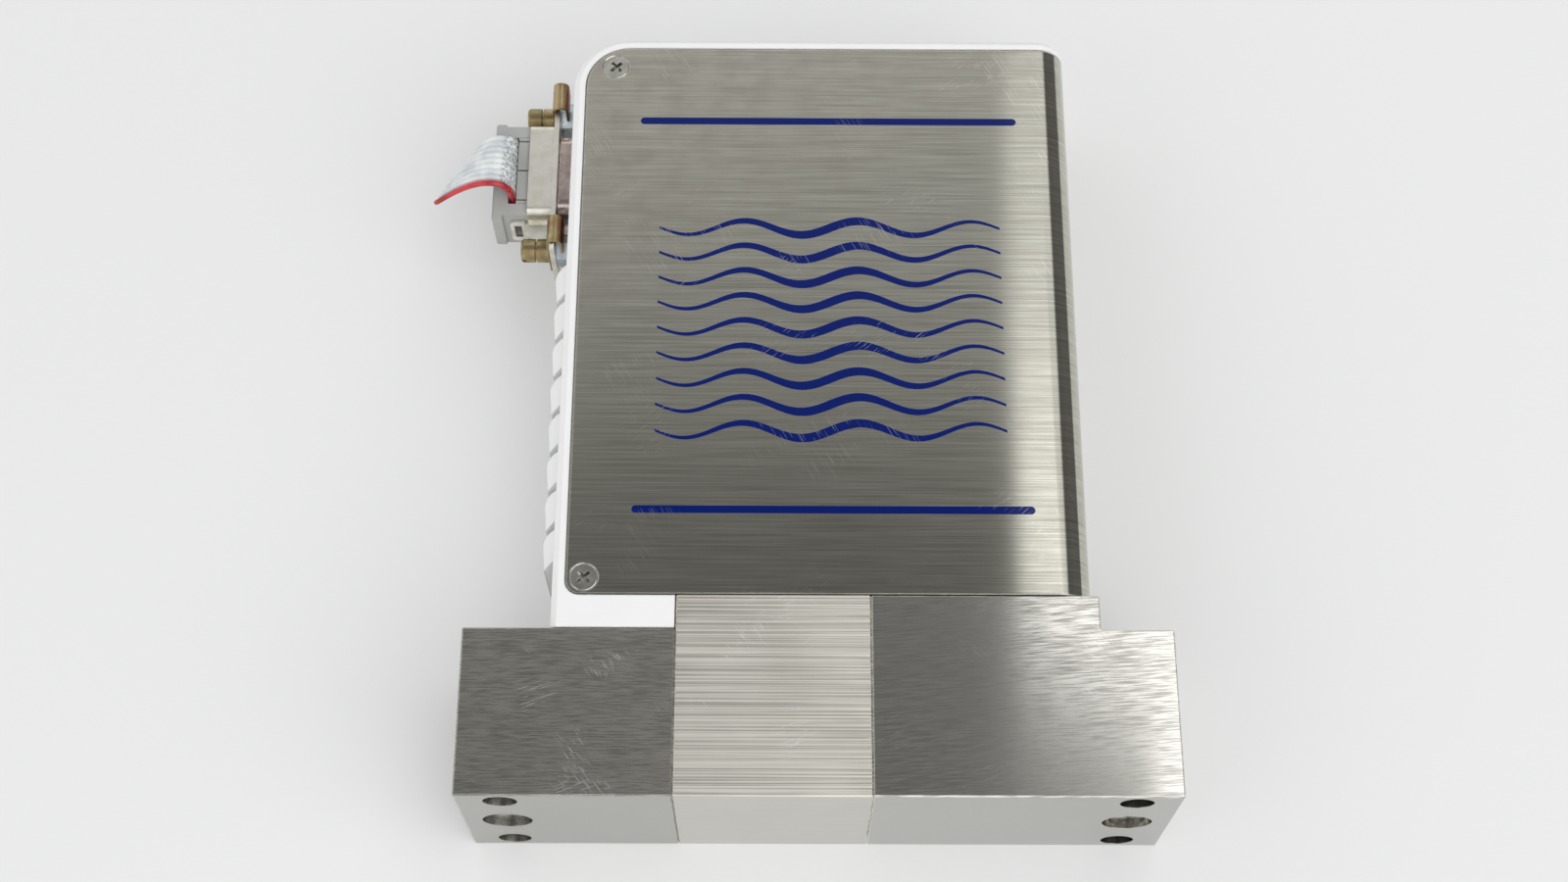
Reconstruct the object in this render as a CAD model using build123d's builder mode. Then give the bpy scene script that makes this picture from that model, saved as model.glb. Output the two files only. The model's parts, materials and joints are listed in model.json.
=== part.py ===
from build123d import *
import math
import os

# Surface-mount mass flow controller, lying on one of its flat sides.
# +X is the direction of flow, +Y is the height above the mounting face and +Z is up,
# through the thickness. The origin is at the middle of the side it lies on. Millimetres.

# ---- Base: three blocks on a 1.125 inch wide surface-mount footprint ----
base_length = 105.0
base_width = 28.6
flange_height = 25.3
body_height = 30.6
inlet_block_length = 31.4
centre_block_length = 28.9
outlet_step_length = 10.8
edge_break = 0.2

# ---- Ports and fixing holes in the mounting face ----
port_pitch = 92.0
screw_pitch = 21.8
mounting_hole_radius = 2.5
gland_radius = 3.7
gland_depth = 1.8
gland_step_radius = 2.7
gland_step_depth = 0.7
port_bore_radius = 1.9
port_overrun = 2.85

# ---- Flow passages inside the base ----
passage_radius = 2.0
outlet_passage_drop = 5.2
bypass_bore_radius = 4.8
seal_inner_radius = 5.2
seal_outer_radius = 6.4
seal_height = 1.2

# ---- Tie screws that pull the end blocks onto the centre block ----
tie_screw_radius = 1.5
tie_head_radius = 2.75
tie_head_height = 3.0
tie_pitch_across = 12.2
tie_edge_distance = 5.0
tie_engagement = 10.0
tie_head_recess = 0.4
tap_overrun = 1.0

# ---- Laminar bypass and inlet screen ----
screen_thickness = 1.0
bypass_length = 22.0
bypass_channel_radius = 0.6
bypass_channels = 10
bypass_circle_radius = 3.36
bypass_waist_depth = 0.5
screen_holes = 6
screen_circle_radius = 2.88

# ---- Thermal sensor on the centre block ----
sensor_leg_pitch = 12.0
sensor_tube_radius = 0.45
sensor_tube_wall = 0.2
tube_side_count = 8
sensor_tube_height = 9.0
sensor_bend_radius = 2.0
winding_radius = 1.3
winding_length = 3.0
winding_gap = 0.6
sensor_base_length = 26.0
sensor_base_width = 14.0
sensor_base_height = 6.0
sensor_can_length = 16.5
sensor_can_width = 10.0
sensor_can_height = 13.0
sensor_can_wall = 1.0
sensor_can_corner = 1.5
sensor_screw_pitch = 21.0
sensor_seal_radius = 1.9
sensor_seal_height = 0.8
sensor_seal_section = 0.7

# ---- Solenoid valve on the outlet block ----
valve_offset = 17.5
chamber_radius = 7.0
chamber_depth = 12.6
seat_radius = 4.0
seat_height = 3.0
seat_recess = 1.5
seat_lip_radius = 1.5
seat_lip_height = 0.5
orifice_radius = 0.6
riser_radius = 1.3
riser_offset = 5.5
plunger_radius = 3.5
plunger_length = 24.0
plunger_travel = 0.3
plunger_edge_break = 0.3
plunger_flat_depth = 0.3
pole_gap = 0.1
stem_wall = 1.0
stem_plate_size = 24.4
stem_plate_height = 3.0
stem_plate_corner = 1.5
stem_spigot_depth = 3.0
stem_screw_pitch = 19.4
yoke_radius = 11.2
yoke_wall = 1.2
yoke_height = 20.0
bobbin_wall = 1.0
winding_margin = 0.4
winding_clearance = 0.3
pole_collar_radius = 6.0
pole_collar_height = 1.0
pole_stud_radius = 2.0
coil_nut_across_flats = 7.0
coil_nut_height = 3.0
stud_stand = 1.0
spring_wire_radius = 0.3
spring_wire_side_count = 6
spring_radius = 1.5
spring_turns = 5
spring_pocket_depth = 6.0
spring_room = 0.2
spring_end_gap = 0.05

# ---- White moulded housing frame ----
rim_width = 1.25
rim_bevel = 0.9
housing_wall = 2.0
housing_flange_width = 4.0
foot_gap = 0.15
foot_screw_pitch = 7.5
foot_screw_depth = 6.0
foot_counterbore = 3.3
cover_boss_radius = 3.4
cover_boss_floor = 1.5
louvre_count = 8
louvre_clearance = 6.0
louvre_pitch = 6.45
louvre_depth = 1.95
louvre_length = 6.1
louvre_nose = 1.9
louvre_root = 0.4
louvre_lip = 0.35
louvre_undercut = 1.4
louvre_margin = 2.3
louvre_end_length = 2.1

# ---- Folded steel cover ----
cover_left = 15.0
cover_right = 93.4
cover_top = 125.7
cover_bottom = 30.7
cover_sheet = 0.8
cover_bend_radius = 4.8
cover_top_corner = 7.0
cover_bottom_corner = 2.0
cover_fit = 0.1
cover_edge_gap = 0.25
cover_screw_head_radius = 2.1
cover_screw_radius = 1.25
cover_screw_length = 7.0
cover_screw_sink = 0.03
cover_screw_rim = 0.05
cover_screw_dome = 0.1
cross_length = 2.3
cross_width = 0.62
cross_depth = 0.9
cross_taper = 12
cross_turn = 42
dimple_radius = 2.5
dimple_depth = 0.5
screw_inset_top = (4.65, 3.46)
screw_inset_bottom = (2.6, 2.54)

# ---- Nine-way D connector on the housing and the plug on it ----
connector_height = 108.2
connector_flange_length = 30.8
connector_flange_width = 12.5
connector_flange_sheet = 0.4
connector_screw_pitch = 25.0
connector_pocket_floor = 15.4
pocket_margin = 0.8
pocket_corner = 2.0
flange_corner = 1.5
socket_flange_sheet = 0.7
shell_sheet = 0.4
shell_wide = 17.7
shell_height = 9.2
shell_slope = 10.0
shell_gap = 0.15
shell_corner = 2.4
shell_inner_corner = 2.0
shell_opening_wide = 19.2
shell_opening_height = 10.4
insulator_wide = 18.5
insulator_height = 9.8
insulator_corner = 1.2
insulator_reach = 3.0
pin_pitch = 2.77
pin_row_pitch = 2.84
pin_radius = 0.5
pin_recess = 1.0
pin_tail = 0.8
contact_wall = 0.3
contact_length = 5.0
contact_recess = 0.6
contact_bore_depth = 7.5
hex_across_flats = 4.75
hex_length = 4.8
hex_bore_floor = 0.8
stud_radius = 1.4
stud_reach = 2.4
connector_nut_height = 2.0
plug_box_depth = 4.0
plug_box_span = 16.8
plug_box_height = 11.2
plug_box_corner = 1.2
plug_inner_corner = 1.6
plug_tongue_gap = 0.2
plug_shell_gap = 0.3
plug_strip_depth = 1.95
plug_strip_span = 12.4
plug_strip_height = 9.4
notch_width = 0.3
notch_depth = 0.6
notch_end = 0.2
plug_bar_depth = 2.6
plug_bar_bevel = 0.4
plug_cover_ear = 0.4
plug_ear_depth = 1.7
latch_width = 4.6
latch_reach = 3.0
latch_head_width = 6.1
latch_head_reach = 2.5
latch_window_width = 3.7
latch_window_length = 1.2
latch_window_inset = 0.65
latch_recess_depth = 1.2
latch_sheet = 0.5
latch_bend = 0.8
jackscrew_head_radius = 1.95
jackscrew_head_length = 2.3
jackscrew_groove = 0.3
jackscrew_collar_length = 2.1
jackscrew_reach = 3.5
jackscrew_bevel = 0.3
jackscrew_slot_width = 0.6
jackscrew_slot_depth = 0.8
clip_sheet = 0.4
clip_width = 4.9
clip_arch_radius = 1.3
clip_arch_rise = 0.4
clip_leg_overlap = 2.4
clip_short_leg = 2.9

# ---- Flat cable stub ----
cable_pitch = 1.27
cable_conductors = 9
cable_radius = 0.6
cable_side_count = 8
cable_slot = 1.3
cable_bend_share = 0.45

# ---- Circuit boards ----
board_sheet = 1.6
board_length = 64.0
board_height = 53.0
board_inset = 12.0
board_top_gap = 5.0
board_lug_height = 3.4
board_lug_width = 7.0
board_left_margin = 9.0
board_lug_inset = 4.0
board_screw_tip_gap = 0.8
connector_board_span = 20.8
connector_board_width = 18.0
board_link_inset = 2.0
board_link_depth = 5.0
board_link_height = 2.6
board_link_bevel = 0.4
package_bevel = 0.2
capacitor_radius = 3.2
capacitor_height = 8.0
capacitor_edge = 0.5
capacitor_places = [(20.0, 9.0), (29.0, 9.0)]

# Parts on the main board: place from its low inlet corner, then length, width and height
large_chip = (28.0, 31.0, 14.0, 14.0, 1.6)
upper_chip = (46.0, 36.0, 5.0, 4.0, 1.4)
lower_chip = (47.0, 24.0, 7.5, 5.0, 1.6)
driver_chip = (12.0, 30.0, 6.5, 6.0, 2.2)
power_coil = (42.0, 9.0, 10.0, 10.0, 5.0)
pin_header = (56.0, 10.0, 11.0, 5.0, 7.0)

# ---- Small screws of the boards, the sensor and the valve ----
board_screw_radius = 1.25
small_head_radius = 2.125
small_head_height = 2.5
low_head_height = 1.6
small_screw_reach = 5.0
small_tap_depth = 6.0
board_screw_reach = 2.2
key_share = 0.5
key_depth_share = 0.6

# ---- Clearances ----
slide_fit = 0.06
thread_fit = 0.04
seat_fit = 0.02
screw_fit = 0.2
cut_overrun = 1.0

# ---- Places worked out from the sizes above ----
housing_left = cover_left - rim_width - rim_bevel
instrument_height = cover_top + rim_width + rim_bevel
shell_reach = hex_length - shell_gap
louvre_first = connector_height - connector_flange_length / 2 - louvre_clearance
left_end = -base_length / 2
right_end = base_length / 2
underside = -instrument_height / 2
middle = base_width / 2
joint_1 = left_end + inlet_block_length
joint_2 = joint_1 + centre_block_length
centre_x = (joint_1 + joint_2) / 2
inlet_port_x = -port_pitch / 2
outlet_port_x = port_pitch / 2
flange_top = underside + flange_height
body_top = underside + body_height
passage_y = underside + flange_height / 2
outlet_passage_y = passage_y - outlet_passage_drop
valve_x = joint_2 + valve_offset
chamber_floor = body_top - chamber_depth
top_y = underside + instrument_height
foot_screw_x = [
    left_end + (cover_left + inlet_block_length) / 2 + side * foot_screw_pitch / 2 for side in (-1, 1)
]

LEFT = (-1, 0, 0)
RIGHT = (1, 0, 0)
DOWN = (0, -1, 0)
UP = (0, 1, 0)
FRONT = (0, 0, 1)
BACK = (0, 0, -1)


def along(x):
    """A plane across the flow at x, with the height and the thickness as its own axes."""
    return Plane.YZ.offset(x)


def level(y):
    """A plane across the height at y, seen from the mounting face, with x and z as its axes."""
    return Plane.XZ.offset(-y)


def facing(x, y, z, normal):
    """A plane at a point on a face, with the face's outward normal, for a hole drilled into it."""
    return Plane(origin=(x, y, z), z_dir=normal)


def block(x_span, y_span, z_span, mode=Mode.ADD):
    """A rectangular block between three pairs of limits, added to the part being built."""
    middle_point = [(low + high) / 2 for low, high in (x_span, y_span, z_span)]
    with Locations(tuple(middle_point)):
        Box(
            x_span[1] - x_span[0],
            y_span[1] - y_span[0],
            z_span[1] - z_span[0],
            mode=mode,
        )


def finish(part, label):
    """Name a finished piece and write it as its own file."""
    part.label = label
    export_step(part, f"parts/{label}.step")


os.makedirs("parts", exist_ok=True)


# ======================= Base blocks =======================

tie_places = [
    (y, middle + side * tie_pitch_across / 2)
    for y in (underside + tie_edge_distance, flange_top - tie_edge_distance)
    for side in (-1, 1)
]
tie_counterbore = tie_head_height + tie_head_recess


def mounting_holes(port_x):
    """The two fixing holes beside a port, one each side of it."""
    return [facing(port_x, underside, middle + side * screw_pitch / 2, DOWN) for side in (-1, 1)]


def drill_port(port_x, bore_depth):
    """A seal gland with its stepped floor, and the bore behind it."""
    with Locations(facing(port_x, underside, middle, DOWN)):
        CounterBoreHole(
            radius=gland_step_radius,
            counter_bore_radius=gland_radius,
            counter_bore_depth=gland_depth,
            depth=gland_depth + gland_step_depth,
        )
        Hole(port_bore_radius, depth=bore_depth)


with BuildPart() as inlet_block:
    with BuildSketch():
        with Locations((left_end, underside)):
            Rectangle(inlet_block_length, flange_height, align=(Align.MIN, Align.MIN))
    extrude(amount=base_width)
    chamfer(inlet_block.edges(), edge_break)
    drill_port(inlet_port_x, passage_y - underside)
    with Locations(*mounting_holes(inlet_port_x)):
        Hole(mounting_hole_radius, depth=flange_height)
    with Locations(facing(joint_1, passage_y, middle, RIGHT)):
        Hole(passage_radius, depth=joint_1 - inlet_port_x + port_overrun)
    with Locations(*[facing(x, flange_top, middle, UP) for x in foot_screw_x]):
        Hole(tie_screw_radius + thread_fit, depth=foot_screw_depth + tap_overrun)
    with Locations(*[facing(left_end, y, z, LEFT) for y, z in tie_places]):
        CounterBoreHole(
            radius=tie_screw_radius + screw_fit,
            counter_bore_radius=tie_head_radius + screw_fit / 2,
            counter_bore_depth=tie_counterbore,
            depth=inlet_block_length,
        )
finish(inlet_block.part, "inlet_block")

with BuildPart() as centre_block:
    with BuildSketch():
        with Locations((joint_1, underside)):
            Rectangle(centre_block_length, body_height, align=(Align.MIN, Align.MIN))
    extrude(amount=base_width)
    chamfer(centre_block.edges(), edge_break)
    with Locations(facing(joint_1, passage_y, middle, LEFT), facing(joint_2, passage_y, middle, RIGHT)):
        CounterBoreHole(
            radius=bypass_bore_radius,
            counter_bore_radius=seal_outer_radius + seat_fit,
            counter_bore_depth=seal_height,
            depth=centre_block_length,
        )
    with Locations(*[facing(joint_1, y, z, LEFT) for y, z in tie_places]):
        Hole(tie_screw_radius + thread_fit, depth=tie_engagement + tap_overrun)
    with Locations(*[facing(joint_2, y, z, RIGHT) for y, z in tie_places]):
        Hole(tie_screw_radius + thread_fit, depth=tie_engagement + tap_overrun)
    with Locations(
        *[facing(centre_x + side * sensor_leg_pitch / 2, body_top, middle, UP) for side in (-1, 1)]
    ):
        CounterBoreHole(
            radius=sensor_tube_radius * 2,
            counter_bore_radius=sensor_seal_radius + seat_fit,
            counter_bore_depth=sensor_seal_height,
            depth=body_top - passage_y,
        )
    with Locations(
        *[facing(centre_x + side * sensor_screw_pitch / 2, body_top, middle, UP) for side in (-1, 1)]
    ):
        Hole(board_screw_radius + thread_fit, depth=small_tap_depth)
finish(centre_block.part, "centre_block")

step_x = right_end - outlet_step_length
with BuildPart() as outlet_block:
    with BuildSketch():
        with BuildLine():
            Polyline(
                (joint_2, underside),
                (right_end, underside),
                (right_end, flange_top),
                (step_x, flange_top),
                (step_x, body_top),
                (joint_2, body_top),
                close=True,
            )
        make_face()
    extrude(amount=base_width)
    chamfer(outlet_block.edges(), edge_break)
    drill_port(outlet_port_x, outlet_passage_y - underside)
    with Locations(*mounting_holes(outlet_port_x)):
        Hole(mounting_hole_radius, depth=flange_height)
    # Supply passage, riser and valve chamber
    with Locations(facing(joint_2, passage_y, middle, LEFT)):
        Hole(passage_radius, depth=valve_offset - riser_offset + riser_radius)
    with Locations(facing(valve_x, body_top, middle, UP)):
        Hole(chamber_radius, depth=chamber_depth)
        Hole(seat_radius + seat_fit, depth=chamber_depth + seat_recess)
        Hole(port_bore_radius, depth=body_top - outlet_passage_y)
    with Locations(facing(valve_x - riser_offset, body_top, middle, UP)):
        Hole(riser_radius, depth=body_top - passage_y)
    # Outlet passage: drilled from the end, which is then welded shut and ground flush
    with BuildSketch(along(valve_x - port_overrun)):
        with Locations((outlet_passage_y, middle)):
            Circle(passage_radius)
    extrude(amount=outlet_port_x - valve_x + 2 * port_overrun, mode=Mode.SUBTRACT)
    with Locations(*[facing(right_end, y, z, RIGHT) for y, z in tie_places]):
        CounterBoreHole(
            radius=tie_screw_radius + screw_fit,
            counter_bore_radius=tie_head_radius + screw_fit / 2,
            counter_bore_depth=tie_counterbore,
            depth=right_end - joint_2,
        )
    with Locations(
        *[
            facing(
                valve_x + across * stem_screw_pitch / 2,
                body_top,
                middle + side * stem_screw_pitch / 2,
                UP,
            )
            for across in (-1, 1)
            for side in (-1, 1)
        ]
    ):
        Hole(board_screw_radius + thread_fit, depth=small_tap_depth)
finish(outlet_block.part, "outlet_block")


def socket_screw(start, direction, radius, head_radius, head_height, shank_length):
    """A socket-head screw whose head's underside is at start and whose shank runs along direction."""
    with BuildPart() as screw:
        with BuildSketch(Plane(origin=start, z_dir=direction)):
            Circle(head_radius)
        extrude(amount=-head_height)
        with BuildSketch(Plane(origin=start, z_dir=direction)):
            Circle(radius)
        extrude(amount=shank_length)
        socket_mouth = Vector(*start) - Vector(*direction) * head_height
        with BuildSketch(Plane(origin=socket_mouth, z_dir=direction)):
            RegularPolygon(head_radius * key_share, 6)
        extrude(amount=head_height * key_depth_share, mode=Mode.SUBTRACT)
    return screw.part


def group(parts, label):
    """Several separate solids that share one file."""
    finish(Compound(children=list(parts)), label)


inlet_grip = inlet_block_length - tie_counterbore
outlet_grip = right_end - joint_2 - tie_counterbore
group(
    [
        socket_screw(
            (left_end + tie_counterbore, y, z),
            RIGHT,
            tie_screw_radius,
            tie_head_radius,
            tie_head_height,
            inlet_grip + tie_engagement,
        )
        for y, z in tie_places
    ],
    "inlet_tie_screws",
)
group(
    [
        socket_screw(
            (right_end - tie_counterbore, y, z),
            LEFT,
            tie_screw_radius,
            tie_head_radius,
            tie_head_height,
            outlet_grip + tie_engagement,
        )
        for y, z in tie_places
    ],
    "outlet_tie_screws",
)


def ring(plane, outer_radius, inner_radius, height):
    """A flat ring standing on a plane."""
    with BuildPart() as washer:
        with BuildSketch(plane):
            Circle(outer_radius)
            Circle(inner_radius, mode=Mode.SUBTRACT)
        extrude(amount=height)
    return washer.part


group(
    [
        ring(facing(joint_1, passage_y, middle, RIGHT), seal_outer_radius, seal_inner_radius, seal_height),
        ring(facing(joint_2, passage_y, middle, LEFT), seal_outer_radius, seal_inner_radius, seal_height),
    ],
    "joint_seals",
)

# ======================= Bypass in the centre block =======================

screen_x = joint_1 + seal_height
with BuildPart() as inlet_screen:
    with BuildSketch(along(screen_x)):
        with Locations((passage_y, middle)):
            Circle(bypass_bore_radius - seat_fit)
            with PolarLocations(screen_circle_radius, screen_holes):
                Circle(bypass_channel_radius, mode=Mode.SUBTRACT)
            Circle(bypass_channel_radius, mode=Mode.SUBTRACT)
    extrude(amount=screen_thickness)
finish(inlet_screen.part, "inlet_screen")

bypass_x = screen_x + screen_thickness
with BuildPart() as bypass_element:
    with BuildSketch(along(bypass_x)):
        with Locations((passage_y, middle)):
            Circle(bypass_bore_radius - seat_fit)
            with PolarLocations(bypass_circle_radius, bypass_channels):
                Circle(bypass_channel_radius, mode=Mode.SUBTRACT)
    extrude(amount=bypass_length)
    # Waisted in the middle, below the sensor's two taps
    with BuildSketch(along(bypass_x + bypass_length / 3)):
        with Locations((passage_y, middle)):
            Circle(bypass_bore_radius)
            Circle(bypass_bore_radius - bypass_waist_depth, mode=Mode.SUBTRACT)
    extrude(amount=bypass_length / 3, mode=Mode.SUBTRACT)
finish(bypass_element.part, "bypass_element")

# ======================= Thermal sensor =======================

sensor_base_top = body_top + sensor_base_height
with BuildPart() as sensor_base:
    block(
        (centre_x - sensor_base_length / 2, centre_x + sensor_base_length / 2),
        (body_top, sensor_base_top),
        (middle - sensor_base_width / 2, middle + sensor_base_width / 2),
    )
    with Locations(
        *[facing(centre_x + side * sensor_leg_pitch / 2, sensor_base_top, middle, UP) for side in (-1, 1)]
    ):
        Hole(sensor_tube_radius + slide_fit, depth=sensor_base_height)
    with Locations(
        *[facing(centre_x + side * sensor_screw_pitch / 2, sensor_base_top, middle, UP) for side in (-1, 1)]
    ):
        Hole(board_screw_radius + screw_fit, depth=sensor_base_height)
finish(sensor_base.part, "sensor_base")

tube_top = sensor_base_top + sensor_tube_height
with BuildPart() as sensor_tube:
    with BuildLine() as tube_path:
        FilletPolyline(
            (centre_x - sensor_leg_pitch / 2, body_top, middle),
            (centre_x - sensor_leg_pitch / 2, tube_top, middle),
            (centre_x + sensor_leg_pitch / 2, tube_top, middle),
            (centre_x + sensor_leg_pitch / 2, body_top, middle),
            radius=sensor_bend_radius,
        )
    with BuildSketch(facing(centre_x - sensor_leg_pitch / 2, body_top, middle, UP)):
        RegularPolygon(sensor_tube_radius, tube_side_count)
        RegularPolygon(sensor_tube_radius - sensor_tube_wall, tube_side_count, mode=Mode.SUBTRACT)
    sweep(path=tube_path.line)
finish(sensor_tube.part, "sensor_tube")

group(
    [
        ring(
            facing(centre_x + side * winding_gap / 2, tube_top, middle, (side, 0, 0)),
            winding_radius,
            sensor_tube_radius + seat_fit,
            winding_length,
        )
        for side in (-1, 1)
    ],
    "sensor_windings",
)

can_inner_length = sensor_can_length - 2 * sensor_can_wall
can_inner_width = sensor_can_width - 2 * sensor_can_wall
with BuildPart() as sensor_cover:
    block(
        (centre_x - sensor_can_length / 2, centre_x + sensor_can_length / 2),
        (sensor_base_top, sensor_base_top + sensor_can_height),
        (middle - sensor_can_width / 2, middle + sensor_can_width / 2),
    )
    fillet(sensor_cover.edges().filter_by(Axis.Y), sensor_can_corner)
    block(
        (centre_x - sensor_base_length / 2, centre_x + sensor_base_length / 2),
        (sensor_base_top, sensor_base_top + sensor_can_wall),
        (middle - sensor_can_width / 2, middle + sensor_can_width / 2),
    )
    block(
        (centre_x - can_inner_length / 2, centre_x + can_inner_length / 2),
        (sensor_base_top, sensor_base_top + sensor_can_height - sensor_can_wall),
        (middle - can_inner_width / 2, middle + can_inner_width / 2),
        mode=Mode.SUBTRACT,
    )
    with Locations(
        *[
            facing(centre_x + side * sensor_screw_pitch / 2, sensor_base_top + sensor_can_wall, middle, UP)
            for side in (-1, 1)
        ]
    ):
        Hole(board_screw_radius + screw_fit, depth=sensor_can_wall)
finish(sensor_cover.part, "sensor_cover")

group(
    [
        socket_screw(
            (centre_x + side * sensor_screw_pitch / 2, sensor_base_top + sensor_can_wall, middle),
            DOWN,
            board_screw_radius,
            small_head_radius,
            small_head_height,
            sensor_base_height + sensor_can_wall + small_screw_reach,
        )
        for side in (-1, 1)
    ],
    "sensor_screws",
)
group(
    [
        ring(
            facing(centre_x + side * sensor_leg_pitch / 2, body_top, middle, DOWN),
            sensor_seal_radius,
            sensor_seal_radius - sensor_seal_section,
            sensor_seal_height,
        )
        for side in (-1, 1)
    ],
    "sensor_seals",
)

# ======================= Solenoid valve =======================

seat_bottom = chamber_floor - seat_recess
seat_top = seat_bottom + seat_height
with BuildPart() as valve_seat:
    with BuildSketch(level(seat_bottom)):
        with Locations((valve_x, middle)):
            Circle(seat_radius)
    extrude(amount=-(seat_height - seat_lip_height))
    # Raised lip that the plunger closes
    with BuildSketch(level(seat_top - seat_lip_height)):
        with Locations((valve_x, middle)):
            Circle(seat_lip_radius)
    extrude(amount=-seat_lip_height)
    with Locations(facing(valve_x, seat_top, middle, UP)):
        Hole(orifice_radius, depth=seat_height)
finish(valve_seat.part, "valve_seat")

plunger_bottom = seat_top + seat_fit
plunger_top = plunger_bottom + plunger_length
with BuildPart() as valve_plunger:
    with BuildSketch(level(plunger_bottom)):
        with Locations((valve_x, middle)):
            Circle(plunger_radius)
    extrude(amount=-plunger_length)
    chamfer(valve_plunger.edges().filter_by(GeomType.CIRCLE), plunger_edge_break)
    with Locations(facing(valve_x, plunger_top, middle, UP)):
        Hole(spring_radius + spring_wire_radius + spring_room, depth=spring_pocket_depth)
    # Two flats that let the gas past
    flat_z = plunger_radius - plunger_flat_depth
    for low_z, high_z in ((-plunger_radius, -flat_z), (flat_z, plunger_radius)):
        block(
            (valve_x - plunger_radius, valve_x + plunger_radius),
            (plunger_bottom, plunger_top),
            (middle + low_z, middle + high_z),
            mode=Mode.SUBTRACT,
        )
finish(valve_plunger.part, "valve_plunger")

stem_inner = plunger_radius + slide_fit
stem_outer = stem_inner + stem_wall
stem_plate_top = body_top + stem_plate_height
yoke_top = stem_plate_top + yoke_height
with BuildPart() as valve_stem:
    block(
        (valve_x - stem_plate_size / 2, valve_x + stem_plate_size / 2),
        (body_top, stem_plate_top),
        (middle - stem_plate_size / 2, middle + stem_plate_size / 2),
    )
    fillet(valve_stem.edges().filter_by(Axis.Y), stem_plate_corner)
    with BuildSketch(level(body_top)):
        with Locations((valve_x, middle)):
            Circle(chamber_radius - slide_fit)
    extrude(amount=stem_spigot_depth)
    with BuildSketch(level(stem_plate_top)):
        with Locations((valve_x, middle)):
            Circle(stem_outer)
    extrude(amount=-yoke_height)
    with Locations(facing(valve_x, yoke_top, middle, UP)):
        Hole(stem_inner, depth=yoke_height + stem_plate_height + stem_spigot_depth)
    with Locations(
        *[
            facing(
                valve_x + across * stem_screw_pitch / 2,
                stem_plate_top,
                middle + side * stem_screw_pitch / 2,
                UP,
            )
            for across in (-1, 1)
            for side in (-1, 1)
        ]
    ):
        Hole(board_screw_radius + screw_fit, depth=stem_plate_height)
finish(valve_stem.part, "valve_stem")

group(
    [
        socket_screw(
            (valve_x + across * stem_screw_pitch / 2, stem_plate_top, middle + side * stem_screw_pitch / 2),
            DOWN,
            board_screw_radius,
            small_head_radius,
            small_head_height,
            stem_plate_height + small_screw_reach,
        )
        for across in (-1, 1)
        for side in (-1, 1)
    ],
    "valve_screws",
)

pole_bottom = plunger_top + plunger_travel + pole_gap
with BuildPart() as pole_piece:
    with BuildSketch(level(pole_bottom)):
        with Locations((valve_x, middle)):
            Circle(plunger_radius)
    extrude(amount=-(yoke_top - pole_bottom))
    with BuildSketch(level(yoke_top)):
        with Locations((valve_x, middle)):
            Circle(pole_collar_radius)
    extrude(amount=-pole_collar_height)
    with BuildSketch(level(yoke_top + pole_collar_height)):
        with Locations((valve_x, middle)):
            Circle(pole_stud_radius)
    extrude(amount=-(coil_nut_height + stud_stand))
finish(pole_piece.part, "pole_piece")

with BuildPart() as solenoid_yoke:
    with BuildSketch(level(stem_plate_top)):
        with Locations((valve_x, middle)):
            Circle(yoke_radius)
            Circle(yoke_radius - yoke_wall, mode=Mode.SUBTRACT)
    extrude(amount=-yoke_height)
    with BuildSketch(level(yoke_top - yoke_wall)):
        with Locations((valve_x, middle)):
            Circle(yoke_radius)
            Circle(stem_outer + slide_fit, mode=Mode.SUBTRACT)
    extrude(amount=-yoke_wall)
finish(solenoid_yoke.part, "solenoid_yoke")

bobbin_inner = stem_outer + slide_fit
bobbin_outer = yoke_radius - yoke_wall - winding_clearance
bobbin_bottom = stem_plate_top
bobbin_height = yoke_height - yoke_wall - slide_fit
with BuildPart() as coil_bobbin:
    with BuildSketch(Plane.XY.offset(middle)):
        with BuildLine():
            Polyline(
                (valve_x + bobbin_inner, bobbin_bottom),
                (valve_x + bobbin_outer, bobbin_bottom),
                (valve_x + bobbin_outer, bobbin_bottom + bobbin_wall),
                (valve_x + bobbin_inner + bobbin_wall, bobbin_bottom + bobbin_wall),
                (valve_x + bobbin_inner + bobbin_wall, bobbin_bottom + bobbin_height - bobbin_wall),
                (valve_x + bobbin_outer, bobbin_bottom + bobbin_height - bobbin_wall),
                (valve_x + bobbin_outer, bobbin_bottom + bobbin_height),
                (valve_x + bobbin_inner, bobbin_bottom + bobbin_height),
                close=True,
            )
        make_face()
    revolve(axis=Axis((valve_x, 0, middle), UP))
finish(coil_bobbin.part, "coil_bobbin")

finish(
    ring(
        facing(valve_x, bobbin_bottom + bobbin_wall + seat_fit, middle, UP),
        bobbin_outer - winding_margin,
        bobbin_inner + bobbin_wall + seat_fit,
        bobbin_height - 2 * (bobbin_wall + seat_fit),
    ),
    "solenoid_winding",
)

with BuildPart() as coil_nut:
    with BuildSketch(level(yoke_top + pole_collar_height)):
        with Locations((valve_x, middle)):
            RegularPolygon(coil_nut_across_flats / 2, 6, major_radius=False)
            Circle(pole_stud_radius + thread_fit, mode=Mode.SUBTRACT)
    extrude(amount=-coil_nut_height)
finish(coil_nut.part, "coil_nut")

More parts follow.
